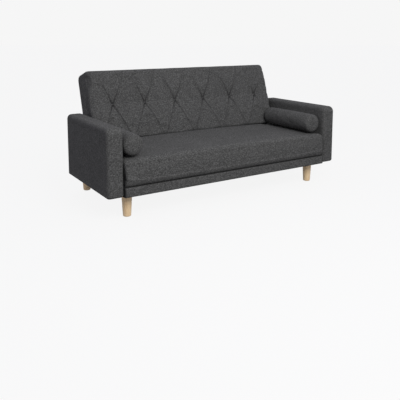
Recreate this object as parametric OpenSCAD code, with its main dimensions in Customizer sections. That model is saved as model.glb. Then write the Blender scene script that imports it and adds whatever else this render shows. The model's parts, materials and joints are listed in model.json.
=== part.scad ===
// Sofa bed with a bench seat between two slab arms and a tufted back.
// The back folds down level with the seat on a three-position ratchet hinge.
// Lengths are in millimetres. X runs across, Y to the back and Z up.
// The origin is on the floor, at the middle of the overall box.

/* [Overall] */
// Width over the two arms
sofa_w = 1900; // [1500:10:2300]
// Height of the legs, from the floor to the base frame
leg_h = 154; // [110:1:220]
// Height of the base frame rails
base_h = 62; // [50:1:90]
// Depth of the base frame, behind the front plane of the arms
base_d = 845; // [830:1:900]

/* [Arms] */
// Thickness of an arm across the sofa
arm_t = 115; // [90:1:150]
// Depth of an arm from front to back
arm_d = 740; // [700:1:800]
// Height of an arm from its underside to its top
arm_h = 435; // [380:1:480]
// Height of the arm's underside above the base frame's
arm_lift = 4; // [0:1:10]
// Radius of the padded edges round an arm's faces
arm_edge_r = 24; // [14:1:30]
// Radius of an arm's upper corners seen from the side
arm_top_r = 36; // [30:1:60]
// Radius of an arm's lower corners seen from the side
arm_low_r = 20; // [12:1:26]
// Swell of the padding at the middle of each arm face
arm_crown = 3; // [1:1:6]
// Thickness of the padding round the arm's timber frame
arm_pad = 30; // [24:1:34]
// Thickness of the board that closes an arm underneath
arm_board_t = 12; // [8:1:18]
// Width of the timber members in an arm frame
arm_member = 52; // [40:1:60]

/* [Seat] */
// Height of the seat's crown above the base frame
seat_h = 193; // [180:1:205]
// How far the seat's front swells past the arms' front plane
seat_bulge = 12; // [4:1:20]
// How far the seat's lower front edge is tucked back at its seam with the base
seat_tuck = 6; // [2:1:8]
// Radius of the seat's upper front edge
seat_edge_r = 42; // [25:1:48]
// Fall of the seat's top from its crown to its front and back edges
seat_crown = 6; // [3:1:10]
// Fall of the seat's top from its middle to where the bolsters lie
seat_cross_fall = 10; // [5:1:14]
// Radius of the rounded edges at the seat's two ends
seat_end_r = 22; // [10:1:26]
// Gap between the seat and each arm
seat_side_gap = 2; // [1:0.5:5]
// Thickness of the cover and its fibre layer over the foam
seat_quilt = 22; // [18:1:26]

/* [Backrest] */
// Height of the back slab, along its face
back_h = 516; // [480:1:540]
// Thickness of the back slab with its padding
back_t = 190; // [180:1:195]
// Lean of the upright back from the vertical, in degrees
back_lean = 18; // [16:1:20]
// Gap between the back slab and each arm
back_side_gap = 23; // [21:1:30]
// Radius of the slab's upper front edge
back_front_r = 26; // [18:1:32]
// Radius of the slab's upper rear edge
back_rear_r = 36; // [25:1:40]
// Radius of the slab's lower edges
back_low_r = 15; // [10:1:18]
// Radius of the slab's two side edges
back_side_r = 24; // [14:1:30]
// Thickness of the slab's side and top padding round its frame
back_quilt = 22; // [20:1:26]
// Depth of the padding in front of the foam, tufts included
back_face_quilt = 42; // [36:1:50]

/* [Tufting] */
// Distance between neighbouring tufts in a row
tuft_pitch = 258; // [220:1:300]
// How far the rows of tufts stand to the right of the slab's middle
tuft_shift = 10; // [-15:1:15]
// Distance of the middle row of tufts below the slab's top
tuft_mid_drop = 259; // [230:1:270]
// Distance of the upper row of tufts below the slab's top
tuft_top_drop = 30; // [28:1:70]
// Depth of a fold line below the puffs beside it
fold_depth = 10; // [6:1:14]
// Further depth of a buttoned tuft below its fold lines
button_sink = 18; // [8:1:20]
// Further depth of a tuft that has no button
tuft_sink = 7; // [2:1:10]
// Diameter of a covered button
button_d = 22; // [16:1:30]

/* [Bolsters] */
// Diameter of a bolster
bolster_d = 140; // [120:1:154]
// Length of a bolster, end caps included
bolster_l = 528; // [400:4:528]
// Distance of a bolster's front end behind the arms' front plane
bolster_front = 25; // [10:1:35]
// Gap between a bolster and its arm
bolster_arm_gap = 8; // [0:1:20]
// Narrowing of a bolster from its middle to its ends
bolster_taper = 3; // [1:1:6]
// Bulge of a bolster's two end caps
bolster_dome = 9; // [4:1:14]
// Thickness of a bolster's cover
bolster_skin = 5; // [3:1:10]
// How far a bolster lies above the seat at rest
bolster_rest_gap = 0.3; // [0.3:0.1:0.6]

/* [Legs] */
// Diameter of a leg where it meets the frame
leg_top_d = 70; // [50:1:72]
// Diameter of a leg at its foot
leg_foot_d = 53; // [40:1:56]
// Distance of the front leg centres inside the arms' inner faces
leg_inset = 60; // [50:1:90]
// Distance of the rear leg centres inside the arms' inner faces
leg_rear_side = 46; // [44:1:90]
// Distance of the front legs behind the arms' front plane
leg_front_y = 110; // [90:1:150]
// Distance of the rear legs in front of the base's rear face
leg_rear_inset = 50; // [46:1:60]
// Rounding of a leg's foot
leg_foot_r = 6; // [3:1:8]
// Diameter of a glide under a leg
glide_d = 32; // [22:1:36]
// Height of a glide
glide_h = 5; // [4:0.5:8]
// How far a glide stands out of its leg
glide_proud = 2; // [1:0.5:3]

/* [Timber] */
// Thickness of the base frame rails
rail_t = 30; // [26:1:34]
// Thickness of the seat and back frame timber
slat_t = 25; // [20:1:28]
// Height of the seat frame rails
seat_rail_h = 79; // [70:1:84]
// Distance of the two cross rails from the middle
cross_x = 270; // [200:5:400]
// Depth of the back slab's timber frame, front to rear
back_frame_t = 42; // [36:1:46]
// Width of the back frame's timber members
back_member = 45; // [38:1:50]
// Thickness of the deck board behind the seat
deck_t = 6; // [4:1:9]
// Thickness of the cloth under the base
dust_t = 1; // [0.8:0.1:2]

/* [Springs] */
// Number of sinuous springs under the seat
spring_n = 9; // [5:1:11]
// Wire thickness of a spring
wire_t = 3.6; // [3:0.1:4.2]
// Half width of a spring's waves
spring_a = 20; // [16:1:22]
// Number of waves along a spring
spring_waves = 11; // [9:1:11]
// Thickness of the metal of a spring clip
clip_t = 1.5; // [1.2:0.1:2]

/* [Hinge] */
// Distance of the hinge axis behind the arms' front plane
hinge_y = 598; // [590:1:604]
// Distance of the hinge axis behind the slab's front face
hinge_in = 65; // [60:1:70]
// Distance from the hinge axis to the slab's lower end
hinge_gap = 42; // [40:1:46]
// Clearance between the seat and the turning slab
swing_gap = 2.5; // [2:0.5:4]
// Gap under the slab when it lies flat, for the bumpers
flat_gap = 5; // [4:0.5:8]
// Diameter of the hinge pin
pin_d = 12; // [10:0.5:13]
// Thickness of the bracket plates
plate_t = 3; // [2.5:0.5:3]
// Radius of the ratchet plate
ratchet_r = 36; // [34:1:38]
// Thickness of the ratchet plate and of the pawl
ratchet_t = 4; // [3:0.5:4]
// Number of stops the ratchet gives, upright and flat included
stop_n = 3; // [3:1:3]
// Swing of a pawl between lifted and dropped, in degrees
pawl_swing = 9; // [8:0.5:9]
// Diameter of the stud that a pawl turns on
stud_d = 8; // [7:0.5:9]
// Diameter of the bracket and leg bolts
bolt_d = 8; // [6:0.5:8]
// Diameter of the bracket screws
screw_d = 5; // [4:0.5:5]

/* [Fits] */
// Radial clearance of a turning pin in its bore
run_fit = 0.05; // [0.02:0.01:0.09]
// Gap between plates that slide past each other
slide_gap = 0.3; // [0.3:0.1:0.5]
// Gap round a piece that is dropped into a pocket
seat_fit = 0.3; // [0.2:0.1:0.5]

/* [Hidden] */
$fn = 64;
left = -1;
right = 1;
cut = 5;

fabric = "#47474a";
wood = "#d9b483";
timber = "#c8a878";
board = "#b99c6c";
steel = "#8f9296";
black_cloth = "#1e1e20";
foam_colour = "#e6dcb4";
plastic = "#2a2a2c";

// Levels above the floor
base_z = leg_h + dust_t;
base_top = base_z + base_h;
arm_z = base_z + arm_lift;
arm_top = arm_z + arm_h;
seat_top = base_top + seat_h;
hinge_z = base_top + flat_gap + back_t - hinge_in;

// Half widths from the middle of the sofa
inner_hw = sofa_w / 2 - arm_t;
seat_hw = inner_hw - seat_side_gap;
slab_hw = inner_hw - back_side_gap;
rail_hw = inner_hw - slide_gap;

// Layers of the hinge, from the slab's side out towards the arm
back_plate_x = slab_hw;
seat_plate_x = back_plate_x + plate_t + slide_gap;
ratchet_x = seat_plate_x + plate_t;
pawl_x = ratchet_x + slide_gap;
pin_head_t = plate_t;
pin_head_x = back_plate_x - slide_gap - pin_head_t;
notch_x = pin_head_x - slide_gap;

function arc(c, r, a0, a1, steps) = [
  for (i = [0:steps])
    let (a = a0 + (a1 - a0) * i / steps)
    [c.x + r * cos(a), c.y + r * sin(a)]
];
function clamp(v, low, high) = max(low, min(high, v));
function total(list, i = 0) = i < len(list) ? list[i] + total(list, i + 1) : 0;
function turned(p, a) = [p.x * cos(a) - p.y * sin(a), p.x * sin(a) + p.y * cos(a)];

// Outline of the back slab. On it, n runs to the rear and d up the face, both from
// the hinge axis, and slab_yz gives where such a point lies when the back is upright.
n_front = -hinge_in;
n_rear = back_t - hinge_in;
n_mid = (n_front + n_rear) / 2;
d_low = hinge_gap;
d_high = hinge_gap + back_h;
d_mid = (d_low + d_high) / 2;
row_mid = d_high - tuft_mid_drop;
row_top = d_high - tuft_top_drop;
row_low = d_low + back_low_r;
row_steps = 4;
function slab_yz(n, d) = [
  hinge_y + d * sin(back_lean) + n * cos(back_lean),
  hinge_z + d * cos(back_lean) - n * sin(back_lean)
];

// Each entry is a point, the angle of its outward direction and the share of the
// tufting that reaches it. They run counter-clockwise, seen from +X.
function ray_arc(c, r, a0, a1, steps, w0, w1) = [
  for (i = [0:steps])
    let (t = i / max(1, steps), a = a0 + (a1 - a0) * t)
    [[c.x + r * cos(a), c.y + r * sin(a)], a, w0 + (w1 - w0) * t]
];
function face_run(from_d, to_d) = [
  for (i = [1:row_steps]) [[n_front, from_d + (to_d - from_d) * i / row_steps], 180, 1]
];
slab_outline = concat(
  [[[n_front + back_low_r, d_low], 270, 0], [[n_rear - back_low_r, d_low], 270, 0]],
  [[[n_rear, d_low + back_low_r], 0, 0]],
  ray_arc([n_rear - back_rear_r, d_high - back_rear_r], back_rear_r, 0, 90, 3, 0, 0),
  [[[n_mid, d_high], 90, 0]],
  ray_arc([n_front + back_front_r, d_high - back_front_r], back_front_r, 90, 180, 3, 0.08, 1),
  [[[n_front, row_top], 180, 1]],
  face_run(row_top, row_mid),
  face_run(row_mid, row_low),
  ray_arc([n_front + back_low_r, d_low + back_low_r], back_low_r, 225, 225, 0, 0.5, 0.5)
);

// Tufting. u counts pitches across, and s runs from 0 on the buttoned row to 1 on the
// row above or below it. The fold lines are where u + s/2 or u - s/2 is an odd half.
function row_share(d) =
  d >= row_mid
    ? min(1, (d - row_mid) / (row_top - row_mid))
    : min(1, (row_mid - d) / (row_mid - row_low));
function puff(x, d) =
  let (u = (x - tuft_shift) / tuft_pitch, s = row_share(d))
  sqrt(abs(cos(180 * (u + s / 2)) * cos(180 * (u - s / 2))));
function side_fade(x) = 1 - 0.75 * clamp((abs(x - tuft_shift) / tuft_pitch - 2.5) * 2, 0, 1);
function near(x, d, x0, d0) = exp(-(pow(x - x0, 2) + pow(d - d0, 2)) / pow(tuft_pitch / 6, 2));
button_xs = [for (k = [-3:2]) tuft_shift + (k + 0.5) * tuft_pitch];
plain_xs = [for (k = [-2:2]) tuft_shift + k * tuft_pitch];
function sink(x, d) =
  button_sink * total([for (c = button_xs) near(x, d, c, row_mid)])
  + tuft_sink * total([for (c = plain_xs) near(x, d, c, row_top) + near(x, d, c, row_low)]);
function recess(x, d) = fold_depth * (1 - puff(x, d)) * side_fade(x) + sink(x, d);

// One ring of the back slab at x, drawn in all round by inset
function slab_ring(x, inset) = [
  for (p = slab_outline)
    let (
      deep = recess(x, p[0].y) * p[2],
      n = p[0].x - deep * cos(p[1]),
      d = p[0].y - deep * sin(p[1])
    )
    [
      x,
      n_mid + (n - n_mid) * (1 - 2 * inset / back_t),
      d_mid + (d - d_mid) * (1 - 2 * inset / back_h)
    ]
];
slab_column = tuft_pitch / 8;
slab_columns = floor((slab_hw - back_side_r - abs(tuft_shift)) / slab_column - 0.5);
end_angles = [0, 50, 90];
function slab_end_ring(side, a) =
  slab_ring(side * (slab_hw - back_side_r * (1 - sin(a))), back_side_r * (1 - cos(a)));
slab_rings = concat(
  [for (i = [len(end_angles) - 1:-1:0]) slab_end_ring(left, end_angles[i])],
  [for (k = [-slab_columns:slab_columns]) slab_ring(tuft_shift + k * slab_column, 0)],
  [for (a = end_angles) slab_end_ring(right, a)]
);

// Seat outline in Y and Z, counter-clockwise seen from +X. Behind, it keeps the swing
// gap from the slab's lower end, which turns about the hinge axis.
seat_arc_r = hinge_gap - swing_gap;
seat_back_y = hinge_y + seat_arc_r;
seat_edge_z = seat_top - seat_crown - seat_edge_r;
seat_edge_y = seat_edge_r - seat_bulge / 2;
seat_lip = slab_yz(n_front + back_low_r, seat_arc_r);
seat_heel = slab_yz(n_front - 2 * swing_gap, seat_arc_r);
seat_top_shares = [0.96, 0.85, 0.65, 0.45, 0.25, 0.1];
seat_front_steps = 5;
function seat_top_z(t) = seat_top - seat_crown * pow(abs(2 * t - 1), 3);
function seat_front_y(t) =
  seat_tuck * pow(1 - t, 6) - seat_bulge * pow(sin(150 * pow(t, 0.8)), 0.8);
seat_outline = concat(
  [[seat_back_y, base_top], [seat_back_y, hinge_z]],
  arc([hinge_y, hinge_z], seat_arc_r, 30, 90 - back_lean, 2),
  [seat_lip],
  [for (t = seat_top_shares) [seat_edge_y + (seat_heel.x - seat_edge_y) * t, seat_top_z(t)]],
  arc([seat_edge_y, seat_edge_z], seat_edge_r, 90, 165, 3),
  [
    for (i = [0:seat_front_steps])
      let (t = 1 - i / seat_front_steps)
      [seat_front_y(t), base_top + (seat_edge_z - base_top) * t]
  ]
);
bolster_x = seat_hw - bolster_d / 2 - bolster_arm_gap;
bolster_z = seat_top - seat_cross_fall + bolster_rest_gap + bolster_d / 2;

// Share of a fall or an inset that reaches a point of the seat outline
function top_share(p) = clamp((p.y - base_top - seat_h / 2) / (seat_h / 2.2), 0, 1);
function front_share(p) = clamp(1 - p.x / (2 * seat_edge_r), 0, 1);
function seat_ring(x, inset) = [
  for (p = seat_outline)
    let (fall = seat_cross_fall * pow(x / bolster_x, 2) + inset)
    [x, p.x + front_share(p) * inset, p.y - top_share(p) * fall]
];
seat_station_shares = [-0.96, -0.8, -0.6, -0.3, 0, 0.3, 0.6, 0.8, 0.96];
function seat_end_ring(side, a) =
  seat_ring(side * (seat_hw - seat_end_r * (1 - sin(a))), seat_end_r * (1 - cos(a)));
seat_end_angles = [0, 35, 65, 90];
seat_rings = concat(
  [for (i = [len(seat_end_angles) - 1:-1:0]) seat_end_ring(left, seat_end_angles[i])],
  [for (s = seat_station_shares) seat_ring(s * (seat_hw - seat_end_r), 0)],
  [for (a = seat_end_angles) seat_end_ring(right, a)]
);

// Arm outline in Y and Z, drawn in by inset and shrunk about the arm's middle
arm_mid = [arm_d / 2, arm_z + arm_h / 2];
function arm_corner(y, z, r, inset, a0) = arc([y, z], max(r - inset, r / 6), a0, a0 + 90, 4);
function arm_outline(inset) =
  let (
    r = arm_top_r,
    low = arm_low_r,
    front = arm_crown / 2,
    back = arm_d - arm_crown / 2,
    top = arm_top - arm_crown,
    tip = inset - arm_crown / 2
  )
  concat(
    arm_corner(back - low, arm_z + low, low, inset, -90),
    [[arm_d - max(inset, 0), arm_mid.y]],
    arm_corner(back - r, top - r, r, inset, 0),
    [[arm_mid.x, arm_top - inset]],
    arm_corner(front + r, top - r, r, inset, 90),
    [[max(inset, 0), arm_mid.y]],
    arm_corner(front + low, arm_z + low, low, inset, 180)
  );
function arm_ring(x, inset, share) = [
  for (p = arm_outline(inset))
    [x, arm_mid.x + (p.x - arm_mid.x) * share, arm_mid.y + (p.y - arm_mid.y) * share]
];
arm_angles = [90, 60, 30, 0];
function arm_half(x0, way) = concat(
  [arm_ring(x0 + way * arm_crown * 0.3, arm_edge_r, 0.55)],
  [
    for (a = arm_angles)
      arm_ring(
        x0 + way * (arm_crown + (arm_edge_r - arm_crown) * (1 - sin(a))),
        arm_edge_r * (1 - cos(a)),
        1
      )
  ]
);
function backwards(list) = [for (i = [len(list) - 1:-1:0]) list[i]];
arm_rings = concat(arm_half(inner_hw, 1), backwards(arm_half(sofa_w / 2, -1)));

// The origin is at the middle of the overall box, so front_y is where the arms start
rear_reach = max([for (p = slab_outline) slab_yz(p[0].x, p[0].y).x]);
front_reach = min([for (p = seat_outline) p.x]);
front_y = -(rear_reach + front_reach) / 2;

// Base frame
band_t = 3;
band_lip = 20;
rail_y0 = band_t;
rail_y1 = band_t + rail_t;
rear_y0 = base_d - rail_t;
side_x0 = rail_hw - rail_t;
block_h = 45;
block_w = 100;
block_front_l = 142;
block_rear_l = 95;
deck_y0 = seat_back_y + swing_gap;
bumper_d = 30;
bumper_y = (deck_y0 + rear_y0) / 2;
bumper_xs = [0.335 * side_x0, 0.87 * side_x0];
leg_x = inner_hw - leg_inset;
leg_rear_x = inner_hw - leg_rear_side;
leg_rear_y = base_d - leg_rear_inset;
nut_wall = 1;
nut_d = bolt_d + 2 * nut_wall;
nut_l = 12;
nut_flange_d = 22;
hanger_sink = 58;
nut_t = clip_t;

// Seat frame
seat_frame_hw = seat_plate_x;
front_pad_t = 12;
seat_frame_y0 = band_t + front_pad_t;
seat_frame_y1 = seat_back_y - seat_quilt;
seat_rail_top = base_top + seat_rail_h;
wire_z = seat_rail_top + clip_t + seat_fit;
foam_z0 = wire_z + wire_t + clip_t + 2 * seat_fit;
foam_z1 = seat_top - seat_cross_fall - seat_quilt;
foam_y1 = hinge_y - seat_arc_r;
foam_hw = seat_frame_hw - slat_t;
spring_y0 = seat_frame_y0 + slat_t / 2;
spring_l = seat_frame_y1 - seat_frame_y0 - slat_t;
spring_pitch = 2 * (foam_hw - 2 * spring_a) / (spring_n - 1);
spring_points = 8;
clip_w = 30;

// Arm frame
arm_x0 = inner_hw + arm_pad;
arm_x1 = sofa_w / 2 - arm_pad;
arm_cavity_top = arm_top - arm_pad;
arm_frame_z0 = arm_z + arm_board_t + seat_fit;
arm_bolt_z = arm_frame_z0 + arm_member / 4;
arm_bolt_gap = 28;
arm_bolt_y0 = rail_y1 + block_front_l + arm_bolt_gap;
arm_bolt_y1 = min(rear_y0 - block_rear_l - arm_bolt_gap, arm_d - arm_pad - arm_member);
arm_bolt_ys = [arm_bolt_y0, (arm_bolt_y0 + arm_bolt_y1) / 2, arm_bolt_y1];
arm_bolt_reach = 24;
hex_t = 5;
hex_d = 14;

// Hinge
hole_fit = 0.2;
rim_step = 2;
lobe_r = ratchet_r - rim_step;
lobe_clear = 20;
back_lobe_r = 26;
foot_l = 108;
foot_gap = 2;
foot_y1 = seat_frame_y1 - slat_t - foot_gap;
foot_h = 62;
foot_lift = 5;
foot_clear = 5;
pin_head_rim = 4;
pin_head_d = pin_d + 2 * pin_head_rim;
stop_turn = (90 - back_lean) / (stop_n - 1);
stud_rise = 14;
stud_n = lobe_r;
stud_d_up = ratchet_r + stud_rise;
stud_cap_rim = 2;
tooth_gap = 0.4;
tooth_w = 5;
tooth_l = stud_n * sin(pawl_swing) + 0.7 * tooth_gap;
pawl_wall = 5;
pawl_r = stud_d / 2 + pawl_wall;
peg_inset = 14;
plate_inset = 4;
spring_post = [1.72 * ratchet_r, 2.44 * ratchet_r];
spring_post_d = 6;
leaf_t = 1.2;
head_t = 2.5;
head_d = 2 * screw_d;
seat_screw_l = 22;
back_screw_l = 42;
seat_screw_shares = [[0.15, 0.25], [0.15, 0.75], [0.72, 0.35]];
back_screw_shares = [0.3, 0.52, 0.74];

// Back frame
rear_panel_t = 3;
web_t = 1.5;
web_w = 50;
web_columns = 9;
web_rows = 3;
cavity_x = slab_hw - back_quilt;
cavity_d0 = d_low + back_quilt;
cavity_d1 = d_high - back_quilt;
cavity_n0 = n_front + back_face_quilt;
frame_x = cavity_x - seat_fit;
frame_d0 = cavity_d0 + seat_fit;
frame_d1 = cavity_d1 - seat_fit;
frame_n1 = n_rear - rear_panel_t;
frame_n0 = frame_n1 - back_frame_t;
screw_n = frame_n0 + back_frame_t / 2;
button_n = n_front + fold_depth + button_sink + seat_fit;
button_h = 8;

// Placing
module placed() {
  translate([0, front_y, 0]) children();
}

module on_side(side) {
  mirror([side < 0 ? 1 : 0, 0, 0]) children();
}

module both_sides() {
  children();
  mirror([1, 0, 0]) children();
}

module on_slab() {
  placed() translate([0, hinge_y, hinge_z]) rotate([-back_lean, 0, 0]) children();
}

module block(low, high) {
  translate(low) cube(high - low);
}

// Extrudes an outline drawn in Y and Z, from x outwards by t
module plate(x, t) {
  translate([x, 0, 0]) rotate([90, 0, 90]) linear_extrude(t) children();
}

module rod(x, p, d, l) {
  plate(x, l) translate(p) circle(d = d);
}

module post(p, d, h) {
  translate(p) cylinder(d = d, h = h);
}

// Skin over rings of equal length, fanned to a point at each end
module skin(rings, first_tip, last_tip) {
  n = len(rings[0]);
  m = len(rings);
  side_faces = [
    for (i = [0:m - 2])
      for (j = [0:n - 1])
        let (a = i * n + j, b = i * n + (j + 1) % n)
        each [[a, a + n, b], [b, a + n, b + n]]
  ];
  cap_faces = [
    for (j = [0:n - 1])
      let (k = (j + 1) % n, e = (m - 1) * n)
      each [[m * n, j, k], [m * n + 1, e + k, e + j]]
  ];
  points = concat([for (r = rings) each r], [first_tip, last_tip]);
  polyhedron(points, concat(side_faces, cap_faces), convexity = 10);
}

// Base frame
module base_front_rail() {
  hw = rail_hw - band_t;
  color(timber) placed() block([-hw, rail_y0, base_z], [hw, rail_y1, base_top]);
}

module base_rear_rail() {
  color(timber) placed() block([-rail_hw, rear_y0, base_z], [rail_hw, base_d, base_top]);
}

module base_side_rail(side) {
  color(timber) placed() on_side(side) difference() {
    block([side_x0, rail_y1, base_z], [rail_hw, rear_y0, base_top]);
    for (y = arm_bolt_ys)
      rod(side_x0 - cut, [y, arm_bolt_z], bolt_d + 2 * hole_fit, rail_t + 2 * cut);
  }
}

module base_cross_rails() {
  color(timber) placed() both_sides() difference() {
    block([cross_x - slat_t / 2, rail_y1, base_z], [cross_x + slat_t / 2, rear_y0, base_top]);
    block(
      [cross_x - slat_t, deck_y0 - seat_fit, base_top - deck_t],
      [cross_x + slat_t, rear_y0 + cut, base_top + cut]
    );
  }
}

module leg_block(y0, y1, leg) {
  difference() {
    block([side_x0 - block_w, y0, base_z], [side_x0, y1, base_z + block_h]);
    translate(leg) {
      post([0, 0, base_z - cut], bolt_d + 2 * hole_fit, block_h + 2 * cut);
      post([0, 0, base_z + block_h - nut_l - hole_fit], nut_d + 2 * hole_fit, nut_l + cut);
    }
  }
}

module leg_blocks() {
  color(timber) placed() both_sides() {
    leg_block(rail_y1, rail_y1 + block_front_l, [leg_x, leg_front_y]);
    leg_block(rear_y0 - block_rear_l, rear_y0, [leg_rear_x, leg_rear_y]);
  }
}

// The band's cloth goes round the front rail's ends and under its lower edge
module base_front_band() {
  low = base_z - dust_t;
  color(fabric) placed() union() {
    plate(-rail_hw, 2 * rail_hw) polygon(concat(
      [[band_t, base_top], [0, base_top]],
      arc([band_t, low + band_t], band_t, 180, 270, 4),
      [[band_lip, low], [band_lip, base_z], [band_t, base_z]]
    ));
    both_sides() block([rail_hw - band_t, band_t, base_z], [rail_hw, rail_y1, base_top]);
  }
}

module dust_cover() {
  color(black_cloth) placed() difference() {
    block([-rail_hw, band_lip + seat_fit, leg_h], [rail_hw, base_d, base_z]);
    at_legs() cylinder(d = bolt_d + 2 * hole_fit, h = 3 * leg_h);
  }
}

module rear_deck_panel() {
  hw = side_x0 - seat_fit;
  color(fabric) placed()
    block([-hw, deck_y0, base_top - deck_t], [hw, rear_y0 - seat_fit, base_top]);
}

module back_bumpers() {
  color(plastic) placed() both_sides()
    for (x = bumper_xs) post([x, bumper_y, base_top], bumper_d, flat_gap - slide_gap);
}

// Legs
module at_legs() {
  both_sides() {
    translate([leg_x, leg_front_y, 0]) children();
    translate([leg_rear_x, leg_rear_y, 0]) children();
  }
}

module leg_turning() {
  r = leg_foot_d / 2;
  difference() {
    rotate_extrude() polygon(concat(
      [[0, glide_proud]],
      arc([r - leg_foot_r, glide_proud + leg_foot_r], leg_foot_r, -90, 0, 4),
      [[leg_top_d / 2, leg_h], [0, leg_h]]
    ));
    translate([0, 0, -cut]) cylinder(d = glide_d + 2 * hole_fit, h = glide_h + hole_fit + cut);
    translate([0, 0, leg_h - hanger_sink - hole_fit])
      cylinder(d = bolt_d + 2 * hole_fit, h = leg_h);
  }
}

module leg(side, p) {
  color(wood) placed() on_side(side) translate(p) leg_turning();
}

module leg_glides() {
  color(plastic) placed() at_legs() rotate_extrude() polygon([
    [0, 0],
    [glide_d / 2 - glide_proud / 2, 0],
    [glide_d / 2, glide_proud / 2],
    [glide_d / 2, glide_h],
    [0, glide_h]
  ]);
}

module hanger_bolts() {
  color(steel) placed() at_legs()
    translate([0, 0, leg_h - hanger_sink]) cylinder(d = bolt_d, h = hanger_sink + dust_t + block_h);
}

module leg_tee_nuts() {
  top = base_z + block_h;
  color(steel) placed() at_legs() difference() {
    union() {
      translate([0, 0, top - nut_l]) cylinder(d = nut_d, h = nut_l + nut_t);
      translate([0, 0, top]) cylinder(d = nut_flange_d, h = nut_t);
    }
    cylinder(d = bolt_d + 2 * hole_fit, h = top + 2 * cut);
  }
}

// Seat
module seat_front_rail() {
  color(timber) placed() block(
    [-seat_frame_hw, seat_frame_y0, base_top],
    [seat_frame_hw, seat_frame_y0 + slat_t, seat_rail_top]
  );
}

module seat_rear_rail() {
  color(timber) placed() block(
    [-seat_frame_hw, seat_frame_y1 - slat_t, base_top],
    [seat_frame_hw, seat_frame_y1, seat_rail_top]
  );
}

function seat_screw(s) = [foot_y1 - foot_l * (1 - s.x), base_top + foot_lift + foot_h * s.y];

module seat_side_rails() {
  color(timber) placed() both_sides() difference() {
    block(
      [foam_hw, seat_frame_y0 + slat_t, base_top],
      [seat_frame_hw, seat_frame_y1 - slat_t, seat_rail_top]
    );
    for (s = seat_screw_shares)
      rod(seat_frame_hw - seat_screw_l, seat_screw(s), screw_d + hole_fit, seat_screw_l + cut);
  }
}

// Point on one edge of a spring's wavy wire, at share t of its length
function wire_edge(t, half) =
  let (
    a = 360 * spring_waves * t,
    run = [2 * PI * spring_waves * spring_a * cos(a), spring_l],
    across = [run.y, -run.x] / norm(run)
  )
  [spring_a * sin(a), spring_y0 + spring_l * t] + half * across;

module seat_springs() {
  count = spring_waves * spring_points;
  color(steel) placed()
    for (i = [0:spring_n - 1])
      translate([(i - (spring_n - 1) / 2) * spring_pitch, 0, wire_z])
        linear_extrude(wire_t) polygon(concat(
          [for (k = [0:count]) wire_edge(k / count, wire_t / 2)],
          [for (k = [count:-1:0]) wire_edge(k / count, -wire_t / 2)]
        ));
}

module spring_clip() {
  reach = slat_t / 2;
  top = foam_z0 - seat_fit;
  plate(-clip_w / 2, clip_w) polygon([
    [-reach, seat_rail_top],
    [reach, seat_rail_top],
    [reach, seat_rail_top + clip_t],
    [-reach + clip_t, seat_rail_top + clip_t],
    [-reach + clip_t, top - clip_t],
    [reach / 2, top - clip_t],
    [reach / 2, top],
    [-reach, top]
  ]);
}

module spring_clips() {
  color(steel) placed()
    for (i = [0:spring_n - 1])
      translate([(i - (spring_n - 1) / 2) * spring_pitch, 0, 0]) {
        translate([0, spring_y0, 0]) spring_clip();
        translate([0, spring_y0 + spring_l, 0]) mirror([0, 1, 0]) spring_clip();
      }
}

module seat_foam() {
  color(foam_colour) placed() block(
    [-foam_hw + seat_fit, seat_frame_y0, foam_z0],
    [foam_hw - seat_fit, foam_y1, foam_z1]
  );
}

module seat_cover() {
  mid = seat_edge_z / 2 + base_top / 2;
  color(fabric) placed() difference() {
    skin(
      seat_rings,
      [-seat_hw, seat_back_y / 2, mid],
      [seat_hw, seat_back_y / 2, mid]
    );
    block(
      [-seat_frame_hw - seat_fit, seat_frame_y0 - seat_fit, base_top - cut],
      [seat_frame_hw + seat_fit, seat_frame_y1 + seat_fit, foam_z0]
    );
    block(
      [-foam_hw, seat_frame_y0 - seat_fit, foam_z0 - cut],
      [foam_hw, foam_y1 + seat_fit, foam_z1 + seat_fit]
    );
    both_sides() {
      block(
        [notch_x, foot_y1 - foot_l - foot_clear, base_top - cut],
        [seat_hw + cut, seat_back_y + cut, hinge_z + foot_clear]
      );
      block(
        [notch_x, hinge_y - lobe_r - lobe_clear, hinge_z],
        [seat_hw + cut, seat_back_y + cut, seat_top + cut]
      );
    }
  }
}

// Arms
module arm_frame(side) {
  y0 = arm_pad + seat_fit;
  y1 = arm_d - y0;
  bay = (y1 - y0 - arm_member) / 3;
  x0 = arm_x0 + seat_fit;
  t = arm_x1 - arm_x0 - 2 * seat_fit;
  color(timber) placed() on_side(side) difference() {
    plate(x0, t) difference() {
      translate([y0, arm_frame_z0]) square([y1 - y0, arm_cavity_top - seat_fit - arm_frame_z0]);
      for (i = [0:2])
        translate([y0 + arm_member + i * bay, arm_frame_z0 + arm_member])
          square([bay - arm_member, arm_cavity_top - seat_fit - arm_frame_z0 - 2 * arm_member]);
    }
    for (y = arm_bolt_ys)
      rod(x0 - cut, [y, arm_bolt_z], bolt_d + 2 * hole_fit, arm_bolt_reach + 2 * cut);
  }
}

module arm_cover(side) {
  color(fabric) placed() on_side(side) difference() {
    skin(
      arm_rings,
      [inner_hw, arm_mid.x, arm_mid.y],
      [sofa_w / 2, arm_mid.x, arm_mid.y]
    );
    block([arm_x0, arm_pad, arm_z - cut], [arm_x1, arm_d - arm_pad, arm_cavity_top]);
    for (y = arm_bolt_ys)
      rod(inner_hw - cut, [y, arm_bolt_z], bolt_d + 2 * hole_fit, arm_pad + 2 * cut);
  }
}

module arm_board(side) {
  color(board) placed() on_side(side) block(
    [arm_x0 + seat_fit, arm_pad + seat_fit, arm_z],
    [arm_x1 - seat_fit, arm_d - arm_pad - seat_fit, arm_z + arm_board_t]
  );
}

module arm_bolts() {
  color(steel) placed() both_sides()
    for (y = arm_bolt_ys) {
      p = [y, arm_bolt_z];
      rod(side_x0, p, bolt_d, arm_x0 + arm_bolt_reach - side_x0);
      plate(side_x0 - hex_t, hex_t) translate(p) circle(d = hex_d, $fn = 6);
    }
}

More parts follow.
